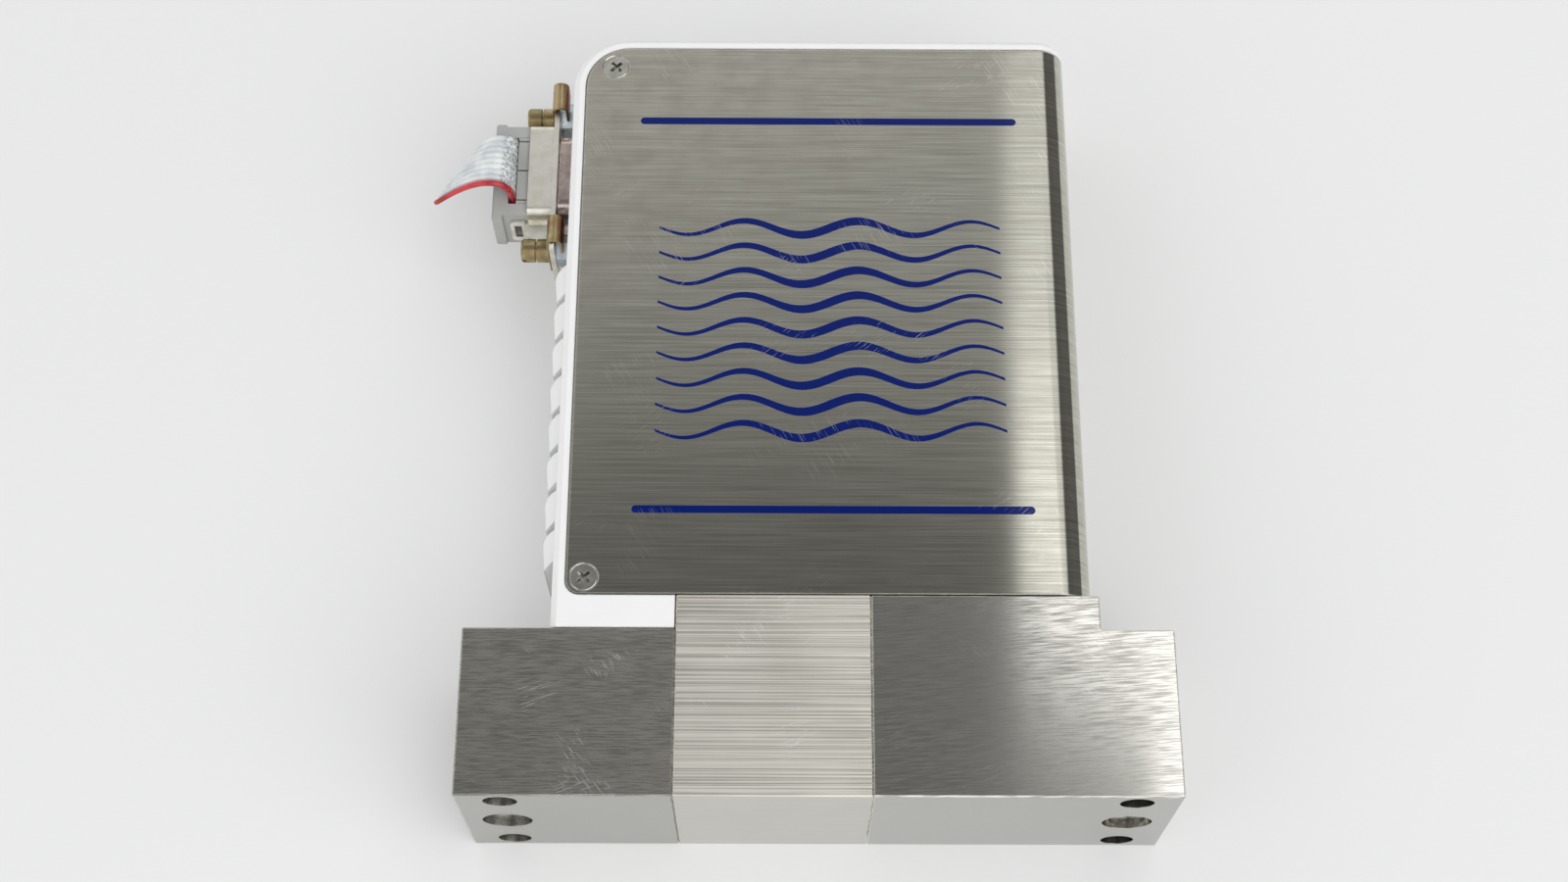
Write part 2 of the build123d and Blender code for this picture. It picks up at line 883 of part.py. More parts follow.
# Return spring: seated on the pole piece, its free end just off the bottom of the plunger's pocket
spring_height = pole_bottom - (plunger_top - spring_pocket_depth) - plunger_travel - spring_end_gap
with BuildPart() as valve_spring:
    spring_start = pole_bottom - spring_wire_radius
    spring_pitch = (spring_height - 2 * spring_wire_radius) / spring_turns
    with BuildLine() as coil_path:
        Helix(
            spring_pitch,
            spring_pitch * spring_turns,
            spring_radius,
            center=(valve_x, spring_start, middle),
            direction=DOWN,
        )
    with BuildSketch(Plane(origin=coil_path.line @ 0, z_dir=coil_path.line % 0)):
        RegularPolygon(spring_wire_radius, spring_wire_side_count)
    sweep(path=coil_path.line, is_frenet=True)
finish(valve_spring.part, "valve_spring")

# ======================= White moulded housing frame =======================

cover_left_x = left_end + cover_left
cover_right_x = left_end + cover_right
cover_top_y = underside + cover_top
cover_bottom_y = underside + cover_bottom
housing_left_x = left_end + housing_left
louvre_nose_x = housing_left_x - louvre_depth
inside_z = (cover_sheet + cover_fit, base_width - cover_sheet - cover_fit)
channel_z = (inside_z[0] + housing_wall, inside_z[1] - housing_wall)
foot_bottom_y = flange_top + foot_gap
foot_top_y = cover_bottom_y - cover_fit
foot_right_x = joint_1 - foot_gap
connector_y = underside + connector_height
pocket_floor_x = left_end + connector_pocket_floor
pocket_back_x = pocket_floor_x + housing_wall
pocket_half_length = connector_flange_length / 2 + pocket_margin
pocket_half_width = connector_flange_width / 2 + pocket_margin
connector_screws = [(connector_y + side * connector_screw_pitch / 2, middle) for side in (-1, 1)]
board_bottom_z = inside_z[0] + board_lug_height
board_left_x = cover_left_x + board_left_margin
board_right_x = board_left_x + board_length
board_top_y = top_y - housing_wall - board_top_gap
board_low_y = board_top_y - board_height
top_lug_x = [board_left_x + board_inset, board_right_x - board_inset]
side_lug_y = board_low_y + board_inset
top_lug_y = board_top_y - board_lug_inset
side_lug_x = board_left_x + board_lug_inset
board_screw_places = [(x, top_lug_y) for x in top_lug_x] + [(side_lug_x, side_lug_y)]
cover_screw_places = [
    (cover_left_x + screw_inset_top[0], cover_top_y - screw_inset_top[1]),
    (cover_left_x + screw_inset_bottom[0], cover_bottom_y + screw_inset_bottom[1]),
]


def front_outline(left, top, right, bottom, top_corner, low_corner=0.0):
    """An outline seen from the front, square on the outlet side and rounded on the inlet side."""
    with BuildSketch() as outline:
        with Locations((left, bottom)):
            Rectangle(right - left, top - bottom, align=(Align.MIN, Align.MIN))
        inlet_corners = outline.vertices().group_by(Axis.X)[0].sort_by(Axis.Y)
        fillet(inlet_corners[-1], top_corner)
        if low_corner:
            fillet(outline.vertices().group_by(Axis.X)[0].sort_by(Axis.Y)[0], low_corner)
    return outline.sketch


def plan_outline(y, right_x, near_z, far_z, bend):
    """An outline across the height: square on the inlet side, bent round on the outlet side."""
    with BuildSketch(level(y)) as outline:
        with Locations((left_end, near_z)):
            Rectangle(right_x - left_end, far_z - near_z, align=(Align.MIN, Align.MIN))
        fillet(outline.vertices().group_by(Axis.X)[-1], bend)
    return outline.sketch


housing_corner = cover_top_corner + rim_width + rim_bevel
recess = front_outline(
    cover_left_x - cover_edge_gap,
    cover_top_y + cover_edge_gap,
    cover_right_x + cut_overrun,
    cover_bottom_y - cover_edge_gap,
    cover_top_corner + cover_edge_gap,
    cover_bottom_corner + cover_edge_gap,
)
window_left_x = cover_left_x + housing_flange_width
window_top_y = cover_top_y - housing_flange_width

# Room for the cover's end wall, outside the line of its inner face
with BuildPart() as cover_end_room:
    block(
        (centre_x, cover_right_x + cut_overrun),
        (underside, cover_top_y + cover_fit),
        (-cut_overrun, base_width + cut_overrun),
    )
    extrude(
        plan_outline(
            underside - cut_overrun,
            cover_right_x - cover_sheet - cover_fit,
            inside_z[0],
            inside_z[1],
            cover_bend_radius - cover_sheet - cover_fit,
        ),
        amount=-(instrument_height + 2 * cut_overrun),
        mode=Mode.SUBTRACT,
    )

with BuildPart() as housing_frame:
    # Outer form: a slab with the cover's bend at the outlet end, its outer edges sloped
    extrude(
        front_outline(housing_left_x, top_y, cover_right_x + cut_overrun, foot_bottom_y, housing_corner),
        amount=base_width,
    )
    extrude(
        plan_outline(underside - cut_overrun, cover_right_x, 0, base_width, cover_bend_radius),
        amount=-(instrument_height + 2 * cut_overrun),
        mode=Mode.INTERSECT,
    )
    top_edges = housing_frame.faces().sort_by(Axis.Y)[-1].edges()
    side_edges = housing_frame.faces().sort_by(Axis.X)[0].edges().filter_by(Axis.Y)
    corner_edges = housing_frame.edges().filter_by(
        lambda edge: edge.geom_type == GeomType.CIRCLE and abs(edge.radius - housing_corner) < 0.01
    )
    end_edge = top_edges.sort_by(Axis.X)[-1:]
    long_edges = top_edges.filter_by(lambda edge: abs((edge % 0.5).Z) < 0.9)
    chamfer(side_edges + corner_edges + end_edge + long_edges, rim_bevel)
    # Recesses for the cover's two faces and its end wall
    extrude(recess, amount=inside_z[0], mode=Mode.SUBTRACT)
    with Locations((0, 0, inside_z[1])):
        add(extrude(recess, amount=inside_z[0], mode=Mode.PRIVATE), mode=Mode.SUBTRACT)
    add(cover_end_room.part, mode=Mode.SUBTRACT)
    # The open middle, which leaves the foot and a flange behind each edge of the cover
    block(
        (window_left_x, cover_right_x + cut_overrun),
        (foot_top_y, window_top_y),
        (-cut_overrun, base_width + cut_overrun),
        mode=Mode.SUBTRACT,
    )
    block(
        (foot_right_x, cover_right_x + cut_overrun),
        (foot_bottom_y - cut_overrun, foot_top_y + cut_overrun),
        (-cut_overrun, base_width + cut_overrun),
        mode=Mode.SUBTRACT,
    )
    # The channel between the two flanges
    with BuildSketch(Plane.XY.offset(channel_z[0])):
        add(
            front_outline(
                housing_left_x + housing_wall,
                top_y - housing_wall,
                cover_right_x - cover_sheet - cover_fit - housing_wall,
                foot_top_y,
                housing_corner - housing_wall,
            )
        )
    extrude(amount=channel_z[1] - channel_z[0], mode=Mode.SUBTRACT)
    # Pocket for the connector
    block(
        (housing_left_x + housing_wall / 2, pocket_back_x),
        (connector_y - pocket_half_length - housing_wall, connector_y + pocket_half_length + housing_wall),
        (middle - pocket_half_width - housing_wall, middle + pocket_half_width + housing_wall),
    )
    with BuildSketch(along(housing_left_x - cut_overrun)):
        with Locations((connector_y, middle)):
            RectangleRounded(2 * pocket_half_length, 2 * pocket_half_width, pocket_corner)
    extrude(amount=pocket_floor_x - housing_left_x + cut_overrun, mode=Mode.SUBTRACT)
    with BuildSketch(along(pocket_floor_x - cut_overrun)):
        with Locations((connector_y, middle)):
            RectangleRounded(shell_opening_wide, shell_opening_height, flange_corner)
        with Locations(*connector_screws):
            Circle(stud_radius + screw_fit)
    extrude(amount=housing_wall + 2 * cut_overrun, mode=Mode.SUBTRACT)
    # Bosses for the cover's screws, hollowed for the dimples in its faces
    for x, y in cover_screw_places:
        for z, normal, inward in ((0, BACK, 1), (base_width, FRONT, -1)):
            with BuildSketch(Plane.XY.offset(z + inward * inside_z[0])):
                with Locations((x, y)):
                    Circle(cover_boss_radius)
            extrude(amount=inward * (cover_screw_length + cover_boss_floor))
            with Locations(facing(x, y, z, normal)):
                CounterBoreHole(
                    radius=cover_screw_radius + thread_fit,
                    counter_bore_radius=dimple_radius + cover_fit,
                    counter_bore_depth=cover_sheet + dimple_depth + seat_fit,
                    depth=cover_screw_length + cut_overrun,
                )
    # Lugs that carry the main board
    for x in top_lug_x:
        block(
            (x - board_lug_width / 2, x + board_lug_width / 2),
            (top_lug_y - board_lug_width / 2, top_y - housing_wall / 2),
            (inside_z[0], board_bottom_z),
        )
    block(
        (housing_left_x + housing_wall / 2, side_lug_x + board_lug_width / 2),
        (side_lug_y - board_lug_width / 2, side_lug_y + board_lug_width / 2),
        (inside_z[0], board_bottom_z),
    )
    with Locations(*[facing(x, y, board_bottom_z, FRONT) for x, y in board_screw_places]):
        Hole(board_screw_radius + thread_fit, depth=board_lug_height - board_screw_tip_gap)
    # Screws down through the foot into the inlet block
    with Locations(*[facing(x, foot_top_y, middle, UP) for x in foot_screw_x]):
        CounterBoreHole(
            radius=tie_screw_radius + screw_fit,
            counter_bore_radius=tie_head_radius + screw_fit,
            counter_bore_depth=foot_counterbore,
            depth=foot_top_y - foot_bottom_y,
        )
    # Louvres down the inlet side, their ends sloped back to the side's face
    with BuildPart(mode=Mode.PRIVATE) as louvres:
        for number in range(louvre_count):
            with BuildSketch(Plane.XY.offset(louvre_margin)):
                with BuildLine():
                    louvre_top = underside + louvre_first - number * louvre_pitch
                    top_root = (housing_left_x + louvre_root, louvre_top)
                    nose = (louvre_nose_x, louvre_top - louvre_nose)
                    lip = (louvre_nose_x + louvre_lip, louvre_top - louvre_length)
                    low_root = (housing_left_x + louvre_root, louvre_top - louvre_length + louvre_undercut)
                    TangentArc(nose, top_root, tangent=UP)
                    Polyline(nose, lip, low_root, top_root)
                make_face()
            extrude(amount=base_width - 2 * louvre_margin)
        with BuildSketch(level(underside)):
            with BuildLine():
                Polyline(
                    (housing_left_x + louvre_root, louvre_margin),
                    (housing_left_x, louvre_margin),
                    (louvre_nose_x, louvre_margin + louvre_end_length),
                    (louvre_nose_x, base_width - louvre_margin - louvre_end_length),
                    (housing_left_x, base_width - louvre_margin),
                    (housing_left_x + louvre_root, base_width - louvre_margin),
                    close=True,
                )
            make_face()
        extrude(amount=-instrument_height, mode=Mode.INTERSECT)
    add(louvres.part)
finish(housing_frame.part, "housing_frame")

group(
    [
        socket_screw(
            (x, foot_top_y - foot_counterbore, middle),
            DOWN,
            tie_screw_radius,
            tie_head_radius,
            tie_head_height,
            foot_top_y - foot_counterbore - foot_bottom_y + foot_screw_depth,
        )
        for x in foot_screw_x
    ],
    "foot_screws",
)

# ======================= Folded steel cover =======================

with BuildPart() as steel_cover:
    extrude(
        plan_outline(cover_bottom_y, cover_right_x, 0, base_width, cover_bend_radius),
        amount=-(cover_top_y - cover_bottom_y),
    )
    extrude(
        plan_outline(
            cover_bottom_y,
            cover_right_x - cover_sheet,
            cover_sheet,
            base_width - cover_sheet,
            cover_bend_radius - cover_sheet,
        ),
        amount=-(cover_top_y - cover_bottom_y),
        mode=Mode.SUBTRACT,
    )
    extrude(
        front_outline(
            cover_left_x,
            cover_top_y,
            cover_right_x + cut_overrun,
            cover_bottom_y,
            cover_top_corner,
            cover_bottom_corner,
        ),
        amount=base_width,
        mode=Mode.INTERSECT,
    )
    # Dimples that let the screws' heads sit flush
    sink_radius = cover_screw_head_radius + cover_screw_sink + cover_screw_rim + seat_fit
    for x, y in cover_screw_places:
        for z, normal, inward in ((0, BACK, 1), (base_width, FRONT, -1)):
            with BuildSketch(Plane.XY.offset(z + inward * cover_sheet / 2)):
                with Locations((x, y)):
                    Circle(dimple_radius)
            extrude(amount=inward * (cover_sheet / 2 + dimple_depth))
            with Locations(facing(x, y, z, normal)):
                CounterSinkHole(
                    radius=cover_screw_radius + screw_fit,
                    counter_sink_radius=sink_radius,
                    depth=cover_sheet + dimple_depth,
                    counter_sink_angle=90,
                )
finish(steel_cover.part, "steel_cover")


def cross_recess_screw(x, y, z, outward):
    """A flat-head cross-recess screw whose head's face is at z and looks along outward (+1 or -1)."""
    with BuildPart() as screw:
        with BuildSketch(Plane.XZ.offset(-y)):
            with BuildLine():
                neck = cover_screw_head_radius - cover_screw_radius
                Polyline(
                    (x, z),
                    (x + cover_screw_head_radius - cover_screw_dome, z),
                    (x + cover_screw_head_radius, z - outward * cover_screw_rim),
                    (x + cover_screw_radius, z - outward * (neck + cover_screw_rim)),
                    (x + cover_screw_radius, z - outward * cover_screw_length),
                    (x, z - outward * cover_screw_length),
                    close=True,
                )
            make_face()
        revolve(axis=Axis((x, y, 0), (0, 0, 1)))
        with BuildSketch(facing(x, y, z, (0, 0, outward))):
            with Locations(Location((0, 0, 0), (0, 0, cross_turn))):
                Rectangle(cross_length, cross_width)
                Rectangle(cross_width, cross_length)
        extrude(amount=-cross_depth, taper=cross_taper, mode=Mode.SUBTRACT)
    return screw.part


group(
    [
        cross_recess_screw(x, y, z, outward)
        for x, y in cover_screw_places
        for z, outward in ((cover_screw_sink, -1), (base_width - cover_screw_sink, 1))
    ],
    "cover_screws",
)

# ======================= Device connector =======================


def d_outline(x, wide, height, corner):
    """The rounded D of the connector across the flow at x, its long side towards the low face."""
    with BuildSketch(along(x)) as outline:
        with BuildLine():
            lean = height * math.tan(math.radians(shell_slope))
            Polyline(
                (connector_y - wide / 2, middle - height / 2),
                (connector_y + wide / 2, middle - height / 2),
                (connector_y + wide / 2 - lean, middle + height / 2),
                (connector_y - wide / 2 + lean, middle + height / 2),
                close=True,
            )
        make_face()
        fillet(outline.vertices(), corner)
    return outline.sketch


def contact_places():
    """Centres of the nine contacts: five in the long row and four in the short one."""
    long_row = [
        (connector_y + (number - 2) * pin_pitch, middle - pin_row_pitch / 2) for number in range(5)
    ]
    short_row = [
        (connector_y + (number - 1.5) * pin_pitch, middle + pin_row_pitch / 2) for number in range(4)
    ]
    return long_row + short_row


flange_front_x = pocket_floor_x - socket_flange_sheet
inner_wide = shell_wide - 2 * shell_sheet
inner_height = shell_height - 2 * shell_sheet
with BuildPart() as socket_shell:
    with BuildSketch(along(flange_front_x)):
        with Locations((connector_y, middle)):
            RectangleRounded(connector_flange_length, connector_flange_width, flange_corner)
        with Locations(*connector_screws):
            Circle(stud_radius + screw_fit, mode=Mode.SUBTRACT)
    extrude(amount=socket_flange_sheet)
    extrude(d_outline(flange_front_x, shell_wide, shell_height, shell_corner), amount=-shell_reach)
    extrude(
        d_outline(flange_front_x - shell_reach, inner_wide, inner_height, shell_inner_corner),
        amount=shell_reach + socket_flange_sheet,
        mode=Mode.SUBTRACT,
    )
finish(socket_shell.part, "socket_shell")

insulator_back_x = pocket_back_x + insulator_reach
with BuildPart() as socket_insulator:
    extrude(
        d_outline(
            flange_front_x, inner_wide - 2 * seat_fit, inner_height - 2 * seat_fit, shell_inner_corner
        ),
        amount=socket_flange_sheet,
    )
    with BuildSketch(along(pocket_floor_x)):
        with Locations((connector_y, middle)):
            RectangleRounded(insulator_wide, insulator_height, insulator_corner)
    extrude(amount=insulator_back_x - pocket_floor_x)
    with Locations(*[facing(flange_front_x, y, z, LEFT) for y, z in contact_places()]):
        Hole(pin_radius + seat_fit, depth=insulator_back_x - flange_front_x)
finish(socket_insulator.part, "socket_insulator")

connector_board_x = insulator_back_x
pin_tip_x = flange_front_x - shell_reach + pin_recess
with BuildPart() as socket_pins:
    with BuildSketch(along(pin_tip_x)):
        with Locations(*contact_places()):
            Circle(pin_radius)
    extrude(amount=connector_board_x + board_sheet + pin_tail - pin_tip_x)
finish(socket_pins.part, "socket_pins")

hex_front_x = flange_front_x - hex_length
stud_end_x = pocket_back_x + stud_reach
with BuildPart() as hex_standoffs:
    with BuildSketch(along(hex_front_x)):
        with Locations(*connector_screws):
            RegularPolygon(hex_across_flats / 2, 6, major_radius=False, rotation=30)
    extrude(amount=hex_length)
    with BuildSketch(along(flange_front_x)):
        with Locations(*connector_screws):
            Circle(stud_radius)
    extrude(amount=stud_end_x - flange_front_x)
    with Locations(*[facing(hex_front_x, y, z, LEFT) for y, z in connector_screws]):
        Hole(stud_radius + thread_fit, depth=hex_length - hex_bore_floor)
finish(hex_standoffs.part, "hex_standoffs")

with BuildPart() as connector_nuts:
    with BuildSketch(along(pocket_back_x)):
        with Locations(*connector_screws):
            RegularPolygon(hex_across_flats / 2, 6, major_radius=False)
            Circle(stud_radius + thread_fit, mode=Mode.SUBTRACT)
    extrude(amount=connector_nut_height)
finish(connector_nuts.part, "connector_nuts")

# ======================= Plug on the flat cable =======================

plug_front_x = hex_front_x
plug_seam_x = plug_front_x - connector_flange_sheet
plug_rear_x = plug_seam_x - connector_flange_sheet
plug_box_back_x = plug_rear_x - plug_box_depth
plug_inner_wide = inner_wide - 2 * screw_fit
plug_inner_height = inner_height - 2 * screw_fit


def plug_flange(x):
    """The plug's flange with its two screw holes, one sheet thick, with its low-x face at x."""
    with BuildPart() as plate:
        with BuildSketch(along(x)):
            with Locations((connector_y, middle)):
                RectangleRounded(connector_flange_length, connector_flange_width, flange_corner)
            with Locations(*connector_screws):
                Circle(stud_radius + screw_fit, mode=Mode.SUBTRACT)
        extrude(amount=connector_flange_sheet)
    return plate.part


with BuildPart() as plug_front_shell:
    add(plug_flange(plug_seam_x))
    extrude(
        d_outline(plug_front_x, plug_inner_wide, plug_inner_height, shell_inner_corner),
        amount=flange_front_x - plug_front_x - plug_shell_gap,
    )
    extrude(
        d_outline(
            plug_seam_x,
            plug_inner_wide - 2 * shell_sheet,
            plug_inner_height - 2 * shell_sheet,
            plug_inner_corner,
        ),
        amount=flange_front_x - plug_seam_x,
        mode=Mode.SUBTRACT,
    )
finish(plug_front_shell.part, "plug_front_shell")

latch_places = [
    (connector_y + side * plug_box_span / 2, connector_y + side * (plug_box_span / 2 + latch_sheet))
    for side in (-1, 1)
]
latch_end_x = plug_box_back_x - latch_reach
window_x = latch_end_x + latch_window_inset + latch_window_length / 2
with BuildPart() as plug_rear_shell:
    add(plug_flange(plug_rear_x))
    with BuildSketch(along(plug_rear_x)):
        with Locations((connector_y, middle)):
            RectangleRounded(plug_box_span, plug_box_height, plug_box_corner)
    extrude(amount=-plug_box_depth)
    with BuildSketch(along(plug_seam_x)):
        with Locations((connector_y, middle)):
            RectangleRounded(
                plug_box_span - 2 * shell_sheet,
                plug_box_height - 2 * shell_sheet,
                plug_box_corner - shell_sheet,
            )
    extrude(amount=-(plug_box_depth + connector_flange_sheet), mode=Mode.SUBTRACT)
    # Spring latches, one at each end, whose windows hold the cable cover
    for start_y, end_y in latch_places:
        for far_x, width in ((plug_rear_x, latch_width), (latch_end_x + latch_head_reach, latch_head_width)):
            block(
                (latch_end_x, far_x),
                (min(start_y, end_y), max(start_y, end_y)),
                (middle - width / 2, middle + width / 2),
            )
    fillet(plug_rear_shell.edges().filter_by(Axis.Y).group_by(Axis.X)[0], latch_bend)
    block(
        (window_x - latch_window_length / 2, window_x + latch_window_length / 2),
        (latch_places[0][1] - cut_overrun, latch_places[1][1] + cut_overrun),
        (middle - latch_window_width / 2, middle + latch_window_width / 2),
        mode=Mode.SUBTRACT,
    )
finish(plug_rear_shell.part, "plug_rear_shell")

contact_radius = pin_radius + contact_wall
strip_x = plug_box_back_x - plug_strip_depth
with BuildPart() as plug_body:
    extrude(
        d_outline(
            plug_seam_x,
            plug_inner_wide - 2 * shell_sheet - 2 * seat_fit,
            plug_inner_height - 2 * shell_sheet - 2 * seat_fit,
            plug_inner_corner,
        ),
        amount=hex_length - plug_tongue_gap,
    )
    with BuildSketch(along(plug_seam_x)):
        with Locations((connector_y, middle)):
            RectangleRounded(
                plug_box_span - 2 * shell_sheet - 2 * seat_fit,
                plug_box_height - 2 * shell_sheet - 2 * seat_fit,
                plug_box_corner - shell_sheet,
            )
    extrude(amount=-(plug_seam_x - plug_box_back_x))
    with BuildSketch(along(plug_box_back_x)):
        with Locations((connector_y, middle)):
            Rectangle(plug_strip_span, plug_strip_height)
    extrude(amount=-plug_strip_depth)
    # Notches that divide the strip into cells
    for number in range(-1, 2):
        notch_y = connector_y + number * 2 * pin_pitch
        for low, high in ((0, notch_depth), (plug_strip_height - notch_depth, plug_strip_height)):
            block(
                (strip_x, plug_box_back_x - notch_end),
                (notch_y - notch_width / 2, notch_y + notch_width / 2),
                (middle - plug_strip_height / 2 + low, middle - plug_strip_height / 2 + high),
                mode=Mode.SUBTRACT,
            )
    with Locations(*[facing(plug_seam_x + hex_length, y, z, RIGHT) for y, z in contact_places()]):
        Hole(contact_radius + seat_fit, depth=contact_bore_depth)
finish(plug_body.part, "plug_body")

contact_front_x = plug_seam_x + hex_length - contact_recess
with BuildPart() as plug_contacts:
    with BuildSketch(along(contact_front_x)):
        with Locations(*contact_places()):
            Circle(contact_radius)
            Circle(pin_radius + seat_fit, mode=Mode.SUBTRACT)
    extrude(amount=-contact_length)
finish(plug_contacts.part, "plug_contacts")

bar_front_x = strip_x - cable_slot
bar_back_x = bar_front_x - plug_bar_depth
cover_half_span = plug_box_span / 2 - slide_fit
with BuildPart() as plug_cable_cover:
    block(
        (bar_back_x, plug_box_back_x),
        (connector_y - cover_half_span, connector_y + cover_half_span),
        (middle - plug_strip_height / 2, middle + plug_strip_height / 2),
    )
    block(
        (bar_front_x, plug_box_back_x + cut_overrun),
        (
            connector_y - plug_strip_span / 2 - slide_fit,
            connector_y + plug_strip_span / 2 + slide_fit,
        ),
        (middle - plug_strip_height, middle + plug_strip_height),
        mode=Mode.SUBTRACT,
    )
    # Ears along the back, and the recesses behind the latches' windows
    for side in (-1, 1):
        ear_reaches = (cover_half_span, cover_half_span + plug_cover_ear)
        ear_y = sorted(connector_y + side * reach for reach in ear_reaches)
        block(
            (bar_back_x, bar_back_x + plug_ear_depth),
            (ear_y[0], ear_y[1]),
            (middle - plug_strip_height / 2, middle + plug_strip_height / 2),
        )
        recess_reaches = (cover_half_span - latch_recess_depth, cover_half_span + cut_overrun)
        recess_y = sorted(connector_y + side * reach for reach in recess_reaches)
        block(
            (window_x - latch_window_length / 2, window_x + latch_window_length / 2),
            (recess_y[0], recess_y[1]),
            (middle - latch_window_width / 2, middle + latch_window_width / 2),
            mode=Mode.SUBTRACT,
        )
    chamfer(plug_cable_cover.edges().filter_by(Axis.Y).group_by(Axis.X)[0], plug_bar_bevel)
finish(plug_cable_cover.part, "plug_cable_cover")

clip_back_x = plug_rear_x - clip_sheet
collar_back_x = clip_back_x - jackscrew_collar_length
head_front_x = collar_back_x - jackscrew_groove
head_back_x = head_front_x - jackscrew_head_length


def jackscrew(y, z):
    """A slotted jackscrew: head, groove, collar against the clip, and a shank into the standoff."""
    with BuildPart() as screw:
        with BuildSketch(Plane.XY.offset(z)):
            with BuildLine():
                Polyline(
                    (head_back_x, y),
                    (head_back_x, y + jackscrew_head_radius - jackscrew_bevel),
                    (head_back_x + jackscrew_bevel, y + jackscrew_head_radius),
                    (head_front_x, y + jackscrew_head_radius),
                    (head_front_x, y + stud_radius),
                    (collar_back_x, y + stud_radius),
                    (collar_back_x, y + jackscrew_head_radius),
                    (clip_back_x, y + jackscrew_head_radius),
                    (clip_back_x, y + stud_radius),
                    (hex_front_x + jackscrew_reach, y + stud_radius),
                    (hex_front_x + jackscrew_reach, y),
                    close=True,
                )
            make_face()
        revolve(axis=Axis((0, y, z), RIGHT))
        block(
            (head_back_x, head_back_x + jackscrew_slot_depth),
            (y - jackscrew_head_radius - jackscrew_bevel, y + jackscrew_head_radius + jackscrew_bevel),
            (z - jackscrew_slot_width / 2, z + jackscrew_slot_width / 2),
            mode=Mode.SUBTRACT,
        )
    return screw.part


group([jackscrew(y, z) for y, z in connector_screws], "jackscrews")


def retainer_clip(y, z):
    """A sheet-metal clip over the flange's long edge: a long leg under the screw, an arch, a short leg."""
    arch_x = clip_back_x + clip_arch_radius
    arch_z = z + connector_flange_width / 2 + clip_arch_rise
    with BuildPart() as clip:
        with BuildSketch(Plane.XZ.offset(-y - clip_width / 2)):
            with Locations((arch_x, arch_z)):
                Circle(clip_arch_radius)
                Circle(clip_arch_radius - clip_sheet, mode=Mode.SUBTRACT)
            with Locations((arch_x, arch_z)):
                Rectangle(
                    2 * clip_arch_radius,
                    clip_arch_radius,
                    align=(Align.CENTER, Align.MAX),
                    mode=Mode.SUBTRACT,
                )
            for leg_x, leg_length in (
                (clip_back_x, arch_z - z + clip_leg_overlap),
                (arch_x + clip_arch_radius - clip_sheet, clip_short_leg),
            ):
                with Locations((leg_x, arch_z)):
                    Rectangle(clip_sheet, leg_length, align=(Align.MIN, Align.MAX))
        extrude(amount=clip_width)
        with Locations(facing(plug_rear_x, y, z, RIGHT)):
            Hole(stud_radius + screw_fit / 2, depth=clip_sheet)
    return clip.part


group([retainer_clip(y, z) for y, z in connector_screws], "retainer_clips")

# ======================= Flat cable stub =======================

# Routes of the two outermost conductors, seen from the mounting face, as offsets in x and z from
# the middle of the slot; the conductors between them run between the two
red_route = [(0.0, -4.5), (0.0, 9.4), (-6.8, 9.4), (-12.6, 3.0)]
far_route = [(0.0, -4.5), (0.0, 6.4), (-4.8, 6.4), (-7.8, -0.4)]
slot_x = strip_x - cable_slot / 2


def conductor(number):
    """One conductor of the flat cable, number 0 being the red one on the inlet block's side."""
    share = number / (cable_conductors - 1)
    y = connector_y + (number - (cable_conductors - 1) / 2) * cable_pitch
    route = [
        (slot_x + near[0] + (far[0] - near[0]) * share, y, middle + near[1] + (far[1] - near[1]) * share)
        for near, far in zip(red_route, far_route)
    ]
    points = [Vector(*point) for point in route]
    runs = [(end - start) for start, end in zip(points, points[1:])]
    radii = []
    for first, second in zip(runs, runs[1:]):
        half_turn = math.radians(first.get_angle(second)) / 2
        radii.append(cable_bend_share * min(first.length, second.length) / math.tan(half_turn))
    with BuildPart() as wire:
        with BuildLine() as path:
            FilletPolyline(*route, radius=radii)
        with BuildSketch(Plane(origin=route[0], z_dir=FRONT)):
            RegularPolygon(cable_radius, cable_side_count)
        sweep(path=path.line)
    print("conductor", number, "length", round(path.wire().length, 1), "radii", [round(r, 1) for r in radii])
    return wire.part


finish(conductor(0), "ribbon_red")
group([conductor(number) for number in range(1, cable_conductors)], "ribbon_grey")

# ======================= Circuit boards =======================

board_top_z = board_bottom_z + board_sheet
with BuildPart() as main_board:
    with BuildSketch(Plane.XY.offset(board_bottom_z)):
        with Locations((board_left_x, board_low_y)):
            Rectangle(board_length, board_height, align=(Align.MIN, Align.MIN))
    extrude(amount=board_sheet)
    with Locations(*[facing(x, y, board_top_z, FRONT) for x, y in board_screw_places]):
        Hole(board_screw_radius + screw_fit, depth=board_sheet)
finish(main_board.part, "main_board")

group(
    [
        socket_screw(
            (x, y, board_top_z),
            BACK,
            board_screw_radius,
            small_head_radius,
            low_head_height,
            board_sheet + board_screw_reach,
        )
        for x, y in board_screw_places
    ],
    "board_screws",
)

with BuildPart() as connector_board:
    with BuildSketch(along(connector_board_x)):
        with Locations((connector_y, middle)):
            Rectangle(connector_board_span, connector_board_width)
        with Locations(*contact_places()):
            Circle(pin_radius + seat_fit, mode=Mode.SUBTRACT)
    extrude(amount=board_sheet)
finish(connector_board.part, "connector_board")

with BuildPart() as board_link:
    block(
        (connector_board_x + board_sheet, connector_board_x + board_sheet + board_link_depth),
        (
            connector_y - connector_board_span / 2 + board_link_inset,
            connector_y + connector_board_span / 2 - board_link_inset,
        ),
        (board_top_z, board_top_z + board_link_height),
    )
    chamfer(board_link.edges().filter_by(Axis.Y).group_by(Axis.Z)[-1], board_link_bevel)
finish(board_link.part, "board_link")


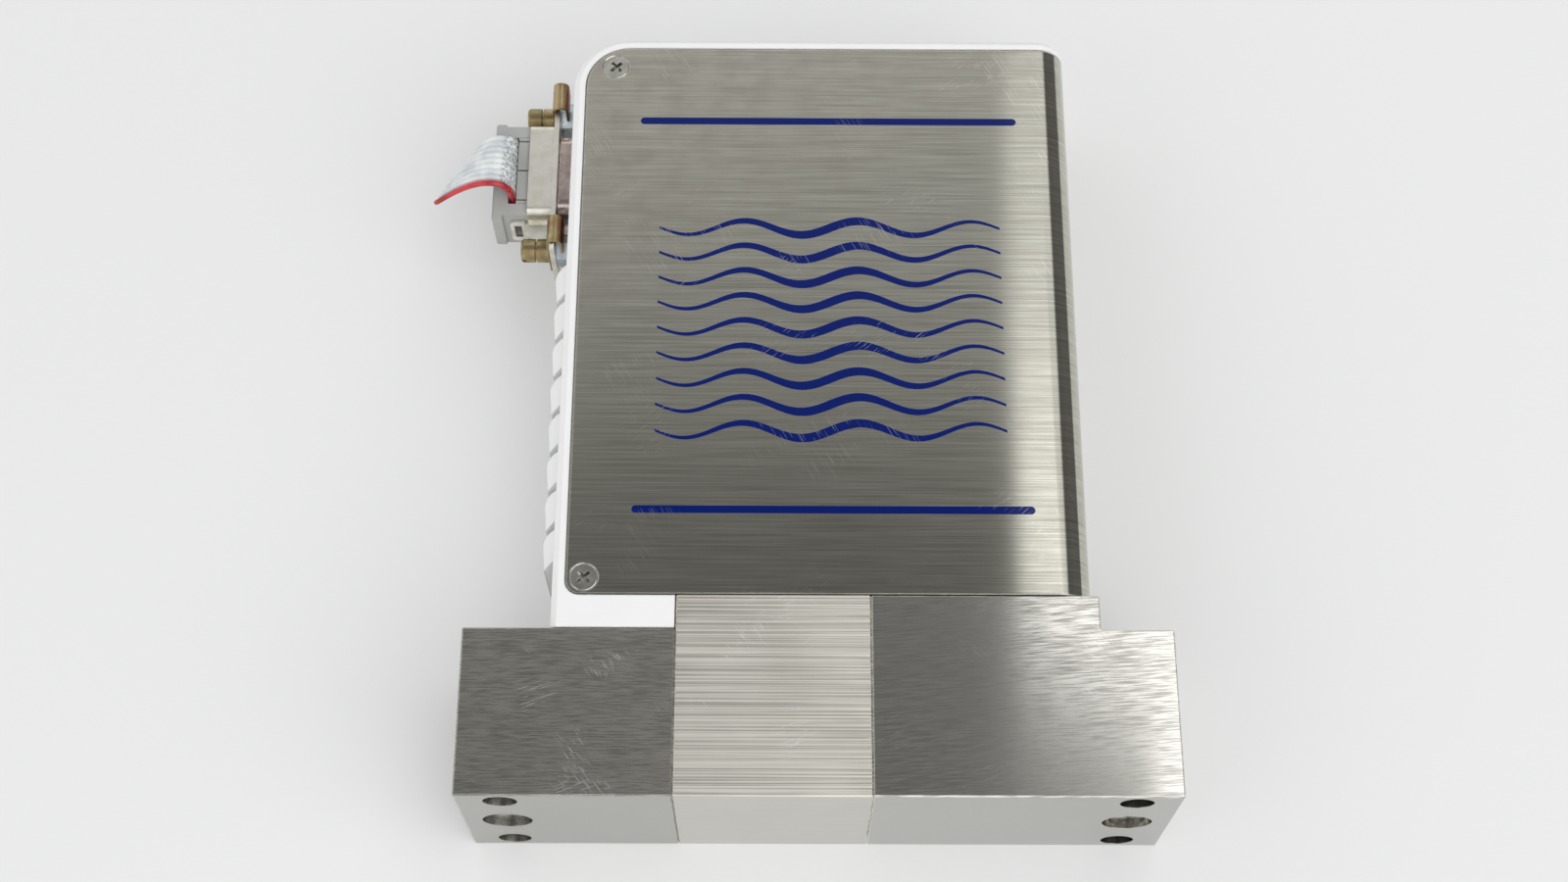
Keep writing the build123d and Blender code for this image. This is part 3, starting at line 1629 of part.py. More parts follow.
def chip(x, y, length, width, height):
    """A moulded component on the main board, its place given from the board's low inlet corner."""
    with BuildPart() as package:
        block(
            (board_left_x + x - length / 2, board_left_x + x + length / 2),
            (board_low_y + y - width / 2, board_low_y + y + width / 2),
            (board_top_z, board_top_z + height),
        )
        chamfer(package.edges().group_by(Axis.Z)[-1], package_bevel)
    return package.part


group([chip(*sizes) for sizes in (large_chip, upper_chip, lower_chip, driver_chip)], "board_chips")
group([chip(*sizes) for sizes in (power_coil, pin_header)], "board_coil_and_header")
with BuildPart() as board_capacitors:
    with BuildSketch(Plane.XY.offset(board_top_z)):
        with Locations(*[(board_left_x + x, board_low_y + y) for x, y in capacitor_places]):
            Circle(capacitor_radius)
    extrude(amount=capacitor_height)
    chamfer(board_capacitors.edges().group_by(Axis.Z)[-1], capacitor_edge)
finish(board_capacitors.part, "board_capacitors")
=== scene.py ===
import json
import math

import bmesh
import bpy
from mathutils import Matrix, Vector, noise


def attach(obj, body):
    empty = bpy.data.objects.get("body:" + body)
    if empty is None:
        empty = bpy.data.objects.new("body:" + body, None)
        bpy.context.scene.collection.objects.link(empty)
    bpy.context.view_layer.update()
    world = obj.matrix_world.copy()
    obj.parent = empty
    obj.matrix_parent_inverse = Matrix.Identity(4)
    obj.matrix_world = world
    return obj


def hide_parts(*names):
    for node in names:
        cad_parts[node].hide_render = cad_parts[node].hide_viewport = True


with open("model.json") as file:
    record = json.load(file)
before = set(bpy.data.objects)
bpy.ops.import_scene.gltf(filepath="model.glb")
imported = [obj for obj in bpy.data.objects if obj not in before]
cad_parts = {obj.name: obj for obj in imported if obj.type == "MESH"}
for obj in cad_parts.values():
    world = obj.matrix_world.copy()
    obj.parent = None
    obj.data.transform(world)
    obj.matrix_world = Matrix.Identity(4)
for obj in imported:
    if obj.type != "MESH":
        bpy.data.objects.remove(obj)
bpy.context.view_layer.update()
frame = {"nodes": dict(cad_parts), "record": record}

# A mass flow controller lying on its side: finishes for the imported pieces, the cut flat cable,
# the floor, the lamps and the camera. Lengths are in millimetres unless a name ends in _M.

MM = 0.001
nodes = frame["nodes"]

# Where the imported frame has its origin, on the axes that the cable's route is given in.
BASE_X = 52.5
BASE_Y = 63.925
MIDDLE_Z = 14.3

# Where the cable leaves its clamp, on those axes, and how high the clamp's slot reaches from the
# middle.
SLOT_X = 2.5
SLOT_Y = 108.2
SLOT_TOP = 4.9

# ---------------------------------------------------------------- camera, floor, lamps

CAMERA_PLACE = (-6.176, -148.365, 349.754)
CAMERA_RIGHT = (0.99998751, 0.0025591, 0.00429379)
CAMERA_UP = (-0.00406048, 0.91685218, 0.39920621)
CAMERA_BACK = (-0.00291516, -0.39921866, 0.91685111)
LENS = 52.72
SENSOR = 36.0
CLIP_START_M = 0.01

FLOOR_WIDTH_M = 6.0
FLOOR_WHITE = (0.81, 0.82, 0.815, 1.0)
FLOOR_ROUGHNESS = 0.55
FLOOR_SPECULAR = 0.2

# The glow that the floor shows to the camera, to mirrors and to windows, and its share there.
FLOOR_SHOWN = (0.86, 0.87, 0.86, 1.0)
FLOOR_LIFT = 0.2

# The room's brightness by how far up a direction points, from 0 for level to 1 for straight up.
ROOM_LEVELS = [
    (0.45, 1.0),
    (0.70, 0.82),
    (0.84, 0.58),
    (0.89, 0.42),
    (0.935, 0.16),
    (0.945, 0.14),
    (0.96, 0.19),
    (1.0, 0.17),
]

# A bright band of the ceiling, over the outlet's side and behind. A direction comes into it as its
# share along X runs through BAND_START and its share along Y through BAND_BACK, and leaves it as
# its share along X runs through BAND_STOP.
BAND_START = (0.093, 0.101)
BAND_STOP = (0.42, 0.55)
BAND_BACK = (-0.05, 0.10)

# Higher up the band starts further over: by BAND_LEAN as the share along Z runs through BAND_LEANS,
# and by BAND_SHIFT more as it runs through BAND_SHIFTED.
BAND_LEAN = 0.009
BAND_LEANS = (0.86, 0.942)
BAND_SHIFT = 0.057
BAND_SHIFTED = (0.940, 0.949)

# The band's brightness, low down and high up, and the shares along Z between which it changes.
BAND_HEIGHTS = (0.86, 0.94)
BAND_LEVELS = (0.97, 1.75)

# Past the band the room is dark as far down as the floor: the shares along X over which it darkens,
# and how much of its brightness is left.
PAST_BAND = (0.42, 0.55)
PAST_BAND_LEFT = 0.16

# Lamps: place and target in metres, size in metres, and radiance.
LAMPS_M = {
    "key": ((0.80, -0.70, 1.40), (0.0, 0.0, 0.0), (1.80, 1.80), 1.5),
    "fill": ((-0.90, -0.60, 0.90), (0.0, 0.0, 0.0), (0.60, 0.60), 0.8),
}


def put_in_scene(thing):
    bpy.context.scene.collection.objects.link(thing)


def set_camera():
    data = bpy.data.cameras.new("camera")
    data.lens = LENS
    data.sensor_width = SENSOR
    data.clip_start = CLIP_START_M
    camera = bpy.data.objects.new("camera", data)
    axes = Matrix((CAMERA_RIGHT, CAMERA_UP, CAMERA_BACK)).transposed()
    camera.matrix_world = Matrix.Translation(Vector(CAMERA_PLACE) * MM) @ axes.to_4x4()
    put_in_scene(camera)
    bpy.context.scene.camera = camera


def feed(tree, value, socket):
    """Links a socket to the value where that is another socket, and otherwise sets it."""
    if isinstance(value, bpy.types.NodeSocket):
        tree.links.new(value, socket)
    else:
        socket.default_value = value


def maths(tree, operation, *values):
    """The result of a Math node of a tree, for values that are numbers or sockets."""
    made = tree.nodes.new("ShaderNodeMath")
    made.operation = operation
    for value, socket in zip(values, made.inputs):
        feed(tree, value, socket)
    return made.outputs[0]


def seen_ray(tree):
    """One for rays from the camera, and for those that a mirror or a window passes on."""
    path = tree.nodes.new("ShaderNodeLightPath")
    shown = path.outputs["Is Camera Ray"]
    for name in ("Is Glossy Ray", "Is Transmission Ray"):
        shown = maths(tree, "MAXIMUM", shown, path.outputs[name])
    return shown


def add_floor():
    """A plain pale floor."""
    mesh = bpy.data.meshes.new("floor")
    half = FLOOR_WIDTH_M / 2
    corners = [(-half, -half, 0), (half, -half, 0), (half, half, 0), (-half, half, 0)]
    mesh.from_pydata(corners, [], [(0, 1, 2, 3)])
    floor = bpy.data.objects.new("floor", mesh)
    put_in_scene(floor)
    material = bpy.data.materials.new("floor_white")
    material.use_nodes = True
    tree = material.node_tree
    surface = tree.nodes["Principled BSDF"]
    surface.inputs["Base Color"].default_value = FLOOR_WHITE
    surface.inputs["Roughness"].default_value = FLOOR_ROUGHNESS
    surface.inputs["Specular IOR Level"].default_value = FLOOR_SPECULAR
    glow = tree.nodes.new("ShaderNodeEmission")
    glow.inputs["Color"].default_value = FLOOR_SHOWN
    mix = tree.nodes.new("ShaderNodeMixShader")
    amount = maths(tree, "MULTIPLY", seen_ray(tree), FLOOR_LIFT)
    for value, socket in zip((amount, surface.outputs[0], glow.outputs[0]), mix.inputs):
        feed(tree, value, socket)
    feed(tree, mix.outputs[0], tree.nodes["Material Output"].inputs["Surface"])
    mesh.materials.append(material)


def set_world():
    """A plain room: white round the horizon, dark overhead, with the bright band."""
    world = bpy.data.worlds.new("room")
    bpy.context.scene.world = world
    world.use_nodes = True
    tree = world.node_tree
    direction = tree.nodes.new("ShaderNodeTexCoord")
    parts = tree.nodes.new("ShaderNodeSeparateXYZ")
    feed(tree, direction.outputs["Generated"], parts.inputs[0])
    across, back, up = parts.outputs

    def rise(value, run, levels=(0.0, 1.0)):
        """Smoothly from the first level to the second as the value goes through the run."""
        made = tree.nodes.new("ShaderNodeMapRange")
        made.interpolation_type = "SMOOTHSTEP"
        for item, socket in zip((value, *run, *levels), made.inputs):
            feed(tree, item, socket)
        return made.outputs[0]

    ramp = tree.nodes.new("ShaderNodeValToRGB")
    ramp.color_ramp.interpolation = "LINEAR"
    stops = ramp.color_ramp.elements
    while len(stops) < len(ROOM_LEVELS):
        stops.new(position=0.5)
    for stop, (place, level) in zip(stops, ROOM_LEVELS):
        stop.position = place
        stop.color = (level, level, level, 1.0)
    feed(tree, up, ramp.inputs[0])

    start = maths(tree, "MULTIPLY_ADD", rise(up, BAND_SHIFTED), -BAND_SHIFT, across)
    start = maths(tree, "MULTIPLY_ADD", rise(up, BAND_LEANS), -BAND_LEAN, start)
    until_stop = rise(across, BAND_STOP, (1.0, 0.0))
    band = maths(tree, "MULTIPLY", rise(start, BAND_START), until_stop)
    band = maths(tree, "MULTIPLY", band, rise(back, BAND_BACK))
    glow = rise(up, BAND_HEIGHTS, BAND_LEVELS)
    past = maths(tree, "MULTIPLY", rise(across, PAST_BAND), rise(back, BAND_BACK))
    kept = maths(tree, "MULTIPLY_ADD", past, PAST_BAND_LEFT - 1.0, 1.0)
    room = maths(tree, "MULTIPLY", ramp.outputs[0], kept)
    room = maths(tree, "MULTIPLY", room, maths(tree, "SUBTRACT", 1.0, band))
    background = tree.nodes["Background"]
    background.inputs["Color"].default_value = (1.0, 1.0, 1.0, 1.0)
    strength = maths(tree, "MULTIPLY_ADD", band, glow, room)
    feed(tree, strength, background.inputs["Strength"])


def add_lamp(name, place, target, size, radiance):
    """A rectangular lamp that looks from its place at its target, all in metres."""
    data = bpy.data.lights.new(name, "AREA")
    data.shape = "RECTANGLE"
    data.size, data.size_y = size
    data.energy = radiance * math.pi * size[0] * size[1]
    lamp = bpy.data.objects.new(name, data)
    lamp.location = place
    aim = Vector(target) - Vector(place)
    lamp.rotation_euler = aim.to_track_quat("-Z", "Y").to_euler()
    put_in_scene(lamp)


set_camera()
set_world()
for lamp_name, settings in LAMPS_M.items():
    add_lamp(lamp_name, *settings)
add_floor()
bpy.context.scene.view_settings.view_transform = "Standard"

# ---------------------------------------------------------------- materials

# Shares of a normal along an axis between which a face counts as turned from one side to the other.
FACES_X = (0.69, 0.71)
FACES_DOWN_Y = (-0.93, -0.98)
BENT_TO_X = (0.25, 0.85)

# How sharp a nick's edge is, and which run of the noise makes the patches that nicks come in.
NICK_EDGE = 0.03
NICK_PATCHES = (0.60, 0.66)
NICK_PATCH_OFFSET = 3.0
BEVEL_SAMPLES = 4

# Gloss is blurred along this direction, across the grain.
ACROSS_GRAIN = (0.02, 1.0, 0.05)


class Look:
    """One procedural material, with short ways to add to its node tree."""

    def __init__(self, name, colour, metallic=0.0, roughness=0.4):
        self.material = bpy.data.materials.new(name)
        self.material.use_nodes = True
        self.tree = self.material.node_tree
        self.surface = self.tree.nodes["Principled BSDF"]
        self.set("Base Color", (*colour, 1.0))
        self.set("Metallic", metallic)
        self.set("Roughness", roughness)
        whole = self.add("ShaderNodeTexCoord").outputs["Object"]
        self.place = self.vector("SCALE", whole, scale=1 / MM)
        self.grain = self.place

    def add(self, kind, **settings):
        made = self.tree.nodes.new(kind)
        for key, value in settings.items():
            setattr(made, key, value)
        return made

    def feed(self, value, socket):
        feed(self.tree, value, socket)

    def set(self, name, value):
        """Sets or links a socket of the shader."""
        self.feed(value, self.surface.inputs[name])

    def vector(self, operation, first, second=None, scale=None):
        made = self.add("ShaderNodeVectorMath", operation=operation)
        self.feed(first, made.inputs[0])
        if second is not None:
            self.feed(second, made.inputs[1])
        if scale is not None:
            made.inputs["Scale"].default_value = scale
        return made.outputs[0]

    def math(self, operation, *values):
        return maths(self.tree, operation, *values)

    def times(self, first, second):
        return self.math("MULTIPLY", first, second)

    def minus(self, first, second):
        return self.math("SUBTRACT", first, second)

    def larger(self, first, second):
        return self.math("MAXIMUM", first, second)

    def size(self, value):
        """The value without its sign."""
        return self.math("ABSOLUTE", value)

    def line(self, value, slope, start):
        """The value times slope, plus start."""
        return self.math("MULTIPLY_ADD", value, slope, start)

    def axes(self, vector):
        made = self.add("ShaderNodeSeparateXYZ")
        self.feed(vector, made.inputs[0])
        return made.outputs

    def join_axes(self, *values):
        made = self.add("ShaderNodeCombineXYZ")
        for value, socket in zip(values, made.inputs):
            self.feed(value, socket)
        return made.outputs[0]

    def normal(self):
        """The three shares of the surface's normal."""
        return self.axes(self.add("ShaderNodeNewGeometry").outputs["Normal"])

    def spread(self, value, low, high, to_low=0.0, to_high=1.0, smooth=False):
        """The run from low to high turned into one from to_low to to_high, and held at its ends."""
        made = self.add("ShaderNodeMapRange", clamp=True)
        made.interpolation_type = "SMOOTHSTEP" if smooth else "LINEAR"
        for item, socket in zip((value, low, high, to_low, to_high), made.inputs):
            self.feed(item, socket)
        return made.outputs[0]

    def mix(self, kind, share, first, second):
        """From first to second by a share from 0 to 1; kind is RGBA for colours, or VECTOR."""
        made = self.add("ShaderNodeMix", data_type=kind)
        self.feed(share, made.inputs["Factor"])
        ends = [end for end in made.inputs if end.type == kind and end.name != "Factor"]
        self.feed(first, ends[0])
        self.feed(second, ends[1])
        return [end for end in made.outputs if end.type == kind][0]

    def blend(self, share, *colours):
        """From the first colour to the second by a share from 0 to 1."""
        first, second = [
            colour if isinstance(colour, bpy.types.NodeSocket) else (*colour, 1.0)
            for colour in colours
        ]
        return self.mix("RGBA", share, first, second)

    def turn_grain_on_ends(self):
        """Runs the grain along Z on the faces that look along X."""
        end = self.spread(self.size(self.normal()[0]), *FACES_X)
        x, y, z = self.axes(self.place)
        self.grain = self.mix("VECTOR", end, self.place, self.join_axes(z, y, x))

    def fold_grain(self):
        """Runs the grain round a sheet that is folded from its faces down its +X side."""
        x, y, z = self.axes(self.place)
        self.grain = self.join_axes(self.minus(x, z), y, 0.0)

    def noise(self, along, across=None, tilt=0.0, detail=3.0, offset=0.0):
        """Noise with a period of `along` mm with the grain and `across` mm the other ways.

        The grain is turned by tilt first.
        """
        across = along if across is None else across
        turned = self.add("ShaderNodeVectorRotate", rotation_type="Z_AXIS")
        self.feed(self.grain, turned.inputs["Vector"])
        turned.inputs["Angle"].default_value = tilt
        drawn = self.vector("MULTIPLY", turned.outputs[0], (1 / along, 1 / across, 1 / across))
        moved = self.vector("ADD", drawn, (offset, offset, offset))
        cloud = self.add("ShaderNodeTexNoise")
        self.feed(moved, cloud.inputs["Vector"])
        cloud.inputs["Scale"].default_value = 1.0
        cloud.inputs["Detail"].default_value = detail
        return cloud.outputs[0]

    def nicks(self, length, width, tilt, threshold, patch, offset=0.0):
        """Thin marks of about that length and width, which come in patches of that period."""
        line = self.noise(length, width, tilt, detail=0.0, offset=offset)
        sharp = self.spread(line, threshold, threshold + NICK_EDGE)
        patches = self.noise(patch, detail=1.0, offset=offset + NICK_PATCH_OFFSET)
        return self.times(sharp, self.spread(patches, *NICK_PATCHES))

    def relief(self, height, depth, strength, edge=None):
        """Bumps of that depth in mm, over a softened edge if one is asked for."""
        bump = self.add("ShaderNodeBump")
        bump.inputs["Strength"].default_value = strength
        bump.inputs["Distance"].default_value = depth * MM
        self.feed(height, bump.inputs["Height"])
        if edge:
            soft = self.add("ShaderNodeBevel", samples=BEVEL_SAMPLES)
            soft.inputs["Radius"].default_value = edge * MM
            self.feed(soft.outputs[0], bump.inputs["Normal"])
        self.set("Normal", bump.outputs[0])

    def brushed(self, amount):
        """Anisotropic gloss, blurred across the grain."""
        self.set("Anisotropic", amount)
        self.set("Tangent", self.join_axes(*ACROSS_GRAIN))


# The three blocks' ground faces: the tones of the streaks and of the sealing face, the grain's
# length, width and tilt, the roughness, the half run of the noise between dark and light streaks
# (less is sharper), how much stains change the tone, how one-sided the gloss is, and how strong
# the bumps are.
GROUND_BLOCKS = {
    "inlet_block": dict(
        name="inlet_ground", dark=(0.26, 0.255, 0.23), light=(0.49, 0.475, 0.435),
        front=(0.50, 0.495, 0.47), grain=(3.4, 0.2), tilt=0.0, roughness=0.30,
        contrast=0.08, mottle=0.15, brushing=0.85, relief=0.4,
    ),
    "centre_block": dict(
        name="centre_ground", dark=(0.48, 0.465, 0.415), light=(0.92, 0.89, 0.81),
        front=(0.59, 0.58, 0.55), grain=(60.0, 0.26), tilt=0.0, roughness=0.44,
        contrast=0.08, mottle=0.3, brushing=0.8, relief=0.4,
    ),
    "outlet_block": dict(
        name="outlet_ground", dark=(0.46, 0.45, 0.415), light=(0.80, 0.785, 0.73),
        front=(0.42, 0.42, 0.40), grain=(4.4, 0.2), tilt=-0.07, roughness=0.12,
        contrast=0.08, mottle=0.12, brushing=0.95, relief=0.02,
    ),
}
GROUND_COARSE_SHARE = 0.2
GROUND_COARSE_LENGTHS = 3
GROUND_COARSE_WIDTHS = 5
GROUND_CALM = 0.75            # how much fainter the streaks are on the sealing face
GROUND_STAINS = (0.35, 0.68)
GROUND_MARK_TONE = (0.88, 0.88, 0.86)
GROUND_MARK_SHARE = 0.7
GROUND_FRONT_SHARE = 0.85
GROUND_GLOSS_SWING = 0.03     # how much rougher the dark streaks are, and smoother the light ones
GROUND_FRONT_GLOSS = -0.06    # how much less rough the sealing face is
GROUND_MARK_DEPTH = 1.2       # in heights of a streak
GROUND_DEPTH = 0.006
GROUND_EDGE = 0.14


def ground_steel(
    name, dark, light, front, grain, tilt, roughness, contrast, mottle, brushing, relief
):
    """Ground stainless steel: fine grain along X, nicks, stains, and a calmer sealing face."""
    look = Look(name, light, metallic=1.0)
    look.turn_grain_on_ends()
    length, width = grain
    fine = look.noise(length, width, tilt, detail=4.0)
    coarse = look.noise(
        length * GROUND_COARSE_LENGTHS, width * GROUND_COARSE_WIDTHS, tilt, detail=2.0, offset=7.0
    )
    streak = look.line(coarse, GROUND_COARSE_SHARE, look.times(fine, 1 - GROUND_COARSE_SHARE))
    streak = look.spread(streak, 0.5 - contrast, 0.5 + contrast)
    below = look.spread(look.normal()[1], *FACES_DOWN_Y)
    calm = look.line(below, -GROUND_CALM, 1.0)
    streak = look.line(look.minus(streak, 0.5), calm, 0.5)
    stain = look.spread(look.noise(14.0, offset=2.0), *GROUND_STAINS)
    share = look.line(look.minus(stain, 0.5), mottle, streak)
    tone = look.blend(share, dark, light)
    marks = look.larger(
        look.nicks(length=1.8, width=0.12, tilt=tilt + 0.9, threshold=0.68, patch=9.0),
        look.nicks(
            length=3.5, width=0.12, tilt=tilt - 0.35, threshold=0.70, patch=13.0, offset=4.0
        ),
    )
    tone = look.blend(look.times(marks, GROUND_MARK_SHARE), tone, GROUND_MARK_TONE)
    look.set("Base Color", look.blend(look.times(below, GROUND_FRONT_SHARE), tone, front))
    gloss = look.spread(
        share, 0.0, 1.0, roughness + GROUND_GLOSS_SWING, roughness - GROUND_GLOSS_SWING
    )
    look.set("Roughness", look.line(below, GROUND_FRONT_GLOSS, gloss))
    height = look.line(marks, -GROUND_MARK_DEPTH, streak)
    look.relief(height, GROUND_DEPTH, relief, GROUND_EDGE)
    look.brushed(brushing)
    return look.material


# The printing on the cover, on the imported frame's axes: two bars, each with its middle and half its
# length, and a panel of plain wavy lines that are thickest in the middle.
INK = (0.001, 0.010, 0.125)
INK_EDGE = 0.06
PRINTED_ABOVE_Z = (28.45, 28.55)
BAR_HALF_WIDTH = 0.62
TOP_BAR = (1.9, 48.08, 29.8)
LOW_BAR = (2.3, -19.78, 29.8)
WAVE_PANEL = (2.0, 10.82, 27.0)
WAVE_LINES = 9
WAVE_PITCH = 4.4
WAVE_HEIGHT = 1.25
WAVE_LENGTH = 18.0
WAVE_THICKEST = 0.8
WAVE_THINNEST = 0.2


def bar_mask(look, x, y, bar):
    """One inside a bar with round ends."""
    centre_x, centre_y, half_length = bar
    past_end = look.minus(look.size(look.minus(x, centre_x)), half_length)
    past_end = look.larger(past_end, 0.0)
    off_line = look.minus(y, centre_y)
    away = look.math("SQRT", look.line(past_end, past_end, look.times(off_line, off_line)))
    return look.spread(away, BAR_HALF_WIDTH + INK_EDGE, BAR_HALF_WIDTH)


def waves_mask(look, x, y):
    """One inside the wavy lines of the panel."""
    centre_x, centre_y, half_wide = WAVE_PANEL
    along = look.minus(x, centre_x)
    swing = look.math("SINE", look.times(along, math.tau / WAVE_LENGTH))
    up = look.line(swing, -WAVE_HEIGHT, look.minus(y, centre_y))
    step = look.math("FRACT", look.line(up, 1 / WAVE_PITCH, 0.5))
    from_line = look.times(look.size(look.minus(step, 0.5)), WAVE_PITCH)
    out = look.size(along)
    half_width = look.spread(out, 0.0, half_wide, WAVE_THICKEST, WAVE_THINNEST)
    line = look.spread(look.minus(from_line, half_width), INK_EDGE, 0.0)
    half_high = WAVE_PITCH * WAVE_LINES / 2
    tall = look.spread(look.size(up), half_high + INK_EDGE, half_high)
    wide = look.spread(out, half_wide + INK_EDGE, half_wide)
    return look.times(line, look.times(tall, wide))


COVER_DARK = (0.35, 0.343, 0.29)
COVER_LIGHT = (0.69, 0.68, 0.60)
COVER_COARSE_SHARE = 0.25
COVER_STREAKS = (0.30, 0.70)
# Towards the corner at the connector the sheet is warmer and more blotched: the corner's direction,
# and the distances that way between which that sets in.
CORNER_WAY = (-0.6, 0.7)
CORNER_RUN = (5.0, 55.0)
CORNER_TONE = (0.62, 0.595, 0.50)
CORNER_SHARE = 0.35
BLOTCHES = (0.42, 0.72)
BLOTCH_AWAY = 0.25            # how much of the blotches is left away from the corner
BLOTCH_TONE = (0.38, 0.35, 0.30)
BLOTCH_SHARE = 0.35
SCRATCH_TONE = (0.9, 0.88, 0.82)
SCRATCH_SHARE = 0.5
INK_WORN = 0.6                # how much of the ink a scratch takes off
COVER_ROUGHNESS = (0.095, 0.07)
BLOTCH_ROUGHNESS = 0.05
INK_HEIGHT = 1.5              # in heights of a streak, as the scratches' depth of one is
COVER_DEPTH = 0.005
COVER_RELIEF = 0.05
COVER_EDGE = 0.3


def cover_steel():
    """Brushed stainless sheet, warmer and blotched near the connector, scratched and printed."""
    look = Look("cover_brushed", (0.6, 0.59, 0.56), metallic=1.0)
    look.fold_grain()
    x, y, z = look.axes(look.place)
    fine = look.noise(16.0, 0.22)
    coarse = look.noise(70.0, 0.7, detail=2.0, offset=5.0)
    streak = look.line(coarse, COVER_COARSE_SHARE, look.times(fine, 1 - COVER_COARSE_SHARE))
    streak = look.spread(streak, *COVER_STREAKS)
    corner = look.line(y, CORNER_WAY[1], look.times(x, CORNER_WAY[0]))
    corner = look.spread(corner, *CORNER_RUN, smooth=True)
    blotch = look.spread(look.noise(4.5, 2.6, detail=4.0, offset=1.0), *BLOTCHES)
    blotch = look.times(blotch, look.line(corner, 1 - BLOTCH_AWAY, BLOTCH_AWAY))
    tone = look.blend(streak, COVER_DARK, COVER_LIGHT)
    tone = look.blend(look.times(corner, CORNER_SHARE), tone, CORNER_TONE)
    tone = look.blend(look.times(blotch, BLOTCH_SHARE), tone, BLOTCH_TONE)
    marks = look.larger(
        look.nicks(length=6.0, width=0.12, tilt=1.05, threshold=0.70, patch=17.0),
        look.nicks(length=2.5, width=0.12, tilt=-0.7, threshold=0.72, patch=13.0, offset=6.0),
    )
    tone = look.blend(look.times(marks, SCRATCH_SHARE), tone, SCRATCH_TONE)
    ink = look.larger(bar_mask(look, x, y, TOP_BAR), bar_mask(look, x, y, LOW_BAR))
    ink = look.larger(ink, waves_mask(look, x, y))
    ink = look.times(ink, look.spread(z, *PRINTED_ABOVE_Z))
    ink = look.times(ink, look.line(marks, -INK_WORN, 1.0))
    look.set("Base Color", look.blend(ink, tone, INK))
    look.set("Metallic", look.minus(1.0, ink))
    gloss = look.spread(streak, 0.0, 1.0, *COVER_ROUGHNESS)
    look.set("Roughness", look.line(blotch, BLOTCH_ROUGHNESS, gloss))
    look.set("Specular IOR Level", 0.25)
    height = look.line(ink, INK_HEIGHT, look.line(marks, -1.0, streak))
    look.relief(height, COVER_DEPTH, COVER_RELIEF, COVER_EDGE)
    look.brushed(1.0)
    return look.material


PLATED_CLOUDS = (0.36, 0.66)
PLATED_DULLER = 0.09
PLATED_BRIGHTER = 0.04
PITS_TO_A_CLOUD = 9


def plated_steel(name, colour, shade, roughness, period=1.6):
    """Plated or turned metal: cloudy tone and gloss, fine pits and tool marks."""
    look = Look(name, colour, metallic=1.0)
    cloud = look.spread(look.noise(period, detail=4.0), *PLATED_CLOUDS)
    look.set("Base Color", look.blend(cloud, shade, colour))
    gloss = (roughness + PLATED_DULLER, roughness - PLATED_BRIGHTER)
    look.set("Roughness", look.spread(cloud, 0.0, 1.0, *gloss))
    pits = look.noise(period / PITS_TO_A_CLOUD, detail=2.0, offset=9.0)
    look.relief(pits, depth=0.006, strength=0.5, edge=0.08)
    return look.material


CHROMATE_DARK = (0.27, 0.215, 0.11)
CHROMATE_LIGHT = (0.44, 0.37, 0.20)
CHROMATE_TINT = (0.40, 0.23, 0.14)
# Painted shade for the faces turned towards +X: this dark red-brown, blended in at the share set
# below.
CHROMATE_PAINTED_SHADE = (0.26, 0.08, 0.04)
CHROMATE_CLOUDS = (0.38, 0.64)
CHROMATE_TINTS = (0.45, 0.62)
CHROMATE_TINT_SHARE = 0.4
CHROMATE_PAINTED_SHADE_SHARE = 0.85
CHROMATE_ROUGHNESS = (0.40, 0.27)


def chromated_steel():
    """Yellow chromate over zinc: gold to bronze and reddish in places, with painted shade in dark
    red-brown on the +X side.
    """
    look = Look("chromate_yellow", (0.44, 0.34, 0.15), metallic=1.0)
    cloud = look.spread(look.noise(1.9), *CHROMATE_CLOUDS)
    tint = look.spread(look.noise(2.8, detail=2.0, offset=5.0), *CHROMATE_TINTS)
    # Painted shade: faces turned towards +X are darkened to a red-brown.
    painted_shade = look.spread(look.normal()[0], *BENT_TO_X)
    tone = look.blend(cloud, CHROMATE_DARK, CHROMATE_LIGHT)
    tone = look.blend(look.times(tint, CHROMATE_TINT_SHARE), tone, CHROMATE_TINT)
    tone = look.blend(look.times(painted_shade, CHROMATE_PAINTED_SHADE_SHARE), tone, CHROMATE_PAINTED_SHADE)
    look.set("Base Color", tone)
    look.set("Roughness", look.spread(cloud, 0.0, 1.0, *CHROMATE_ROUGHNESS))
    grit = look.noise(0.25, detail=2.0, offset=3.0)
    look.relief(grit, depth=0.008, strength=0.5, edge=0.1)
    return look.material


PLASTIC_CLOUDS = (0.35, 0.65)
SCUFFS = (0.55, 0.75)
SCUFF_ROUGHNESS = 0.12


def moulded(name, colour, roughness, shaded=0.088, edge=0.1):
    """Moulded plastic: tone uneven by the share shaded, fine texture and handling marks."""
    look = Look(name, colour, roughness=roughness)
    darker = tuple(value * (1 - shaded) for value in colour)
    cloud = look.spread(look.noise(6.0), *PLASTIC_CLOUDS)
    look.set("Base Color", look.blend(cloud, darker, colour))
    scuffs = look.spread(look.noise(3.2, 0.5, tilt=0.6, offset=8.0), *SCUFFS)
    look.set("Roughness", look.line(scuffs, SCUFF_ROUGHNESS, roughness))
    look.set("Specular IOR Level", 0.45)
    look.relief(look.noise(0.5, offset=4.0), depth=0.01, strength=0.4, edge=edge)
    return look.material


# The insulation is crushed near the clamp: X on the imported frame's axes between which that sets in.
CRUSHED_X = (SLOT_X - BASE_X - 1.9, SLOT_X - BASE_X - 1.2)
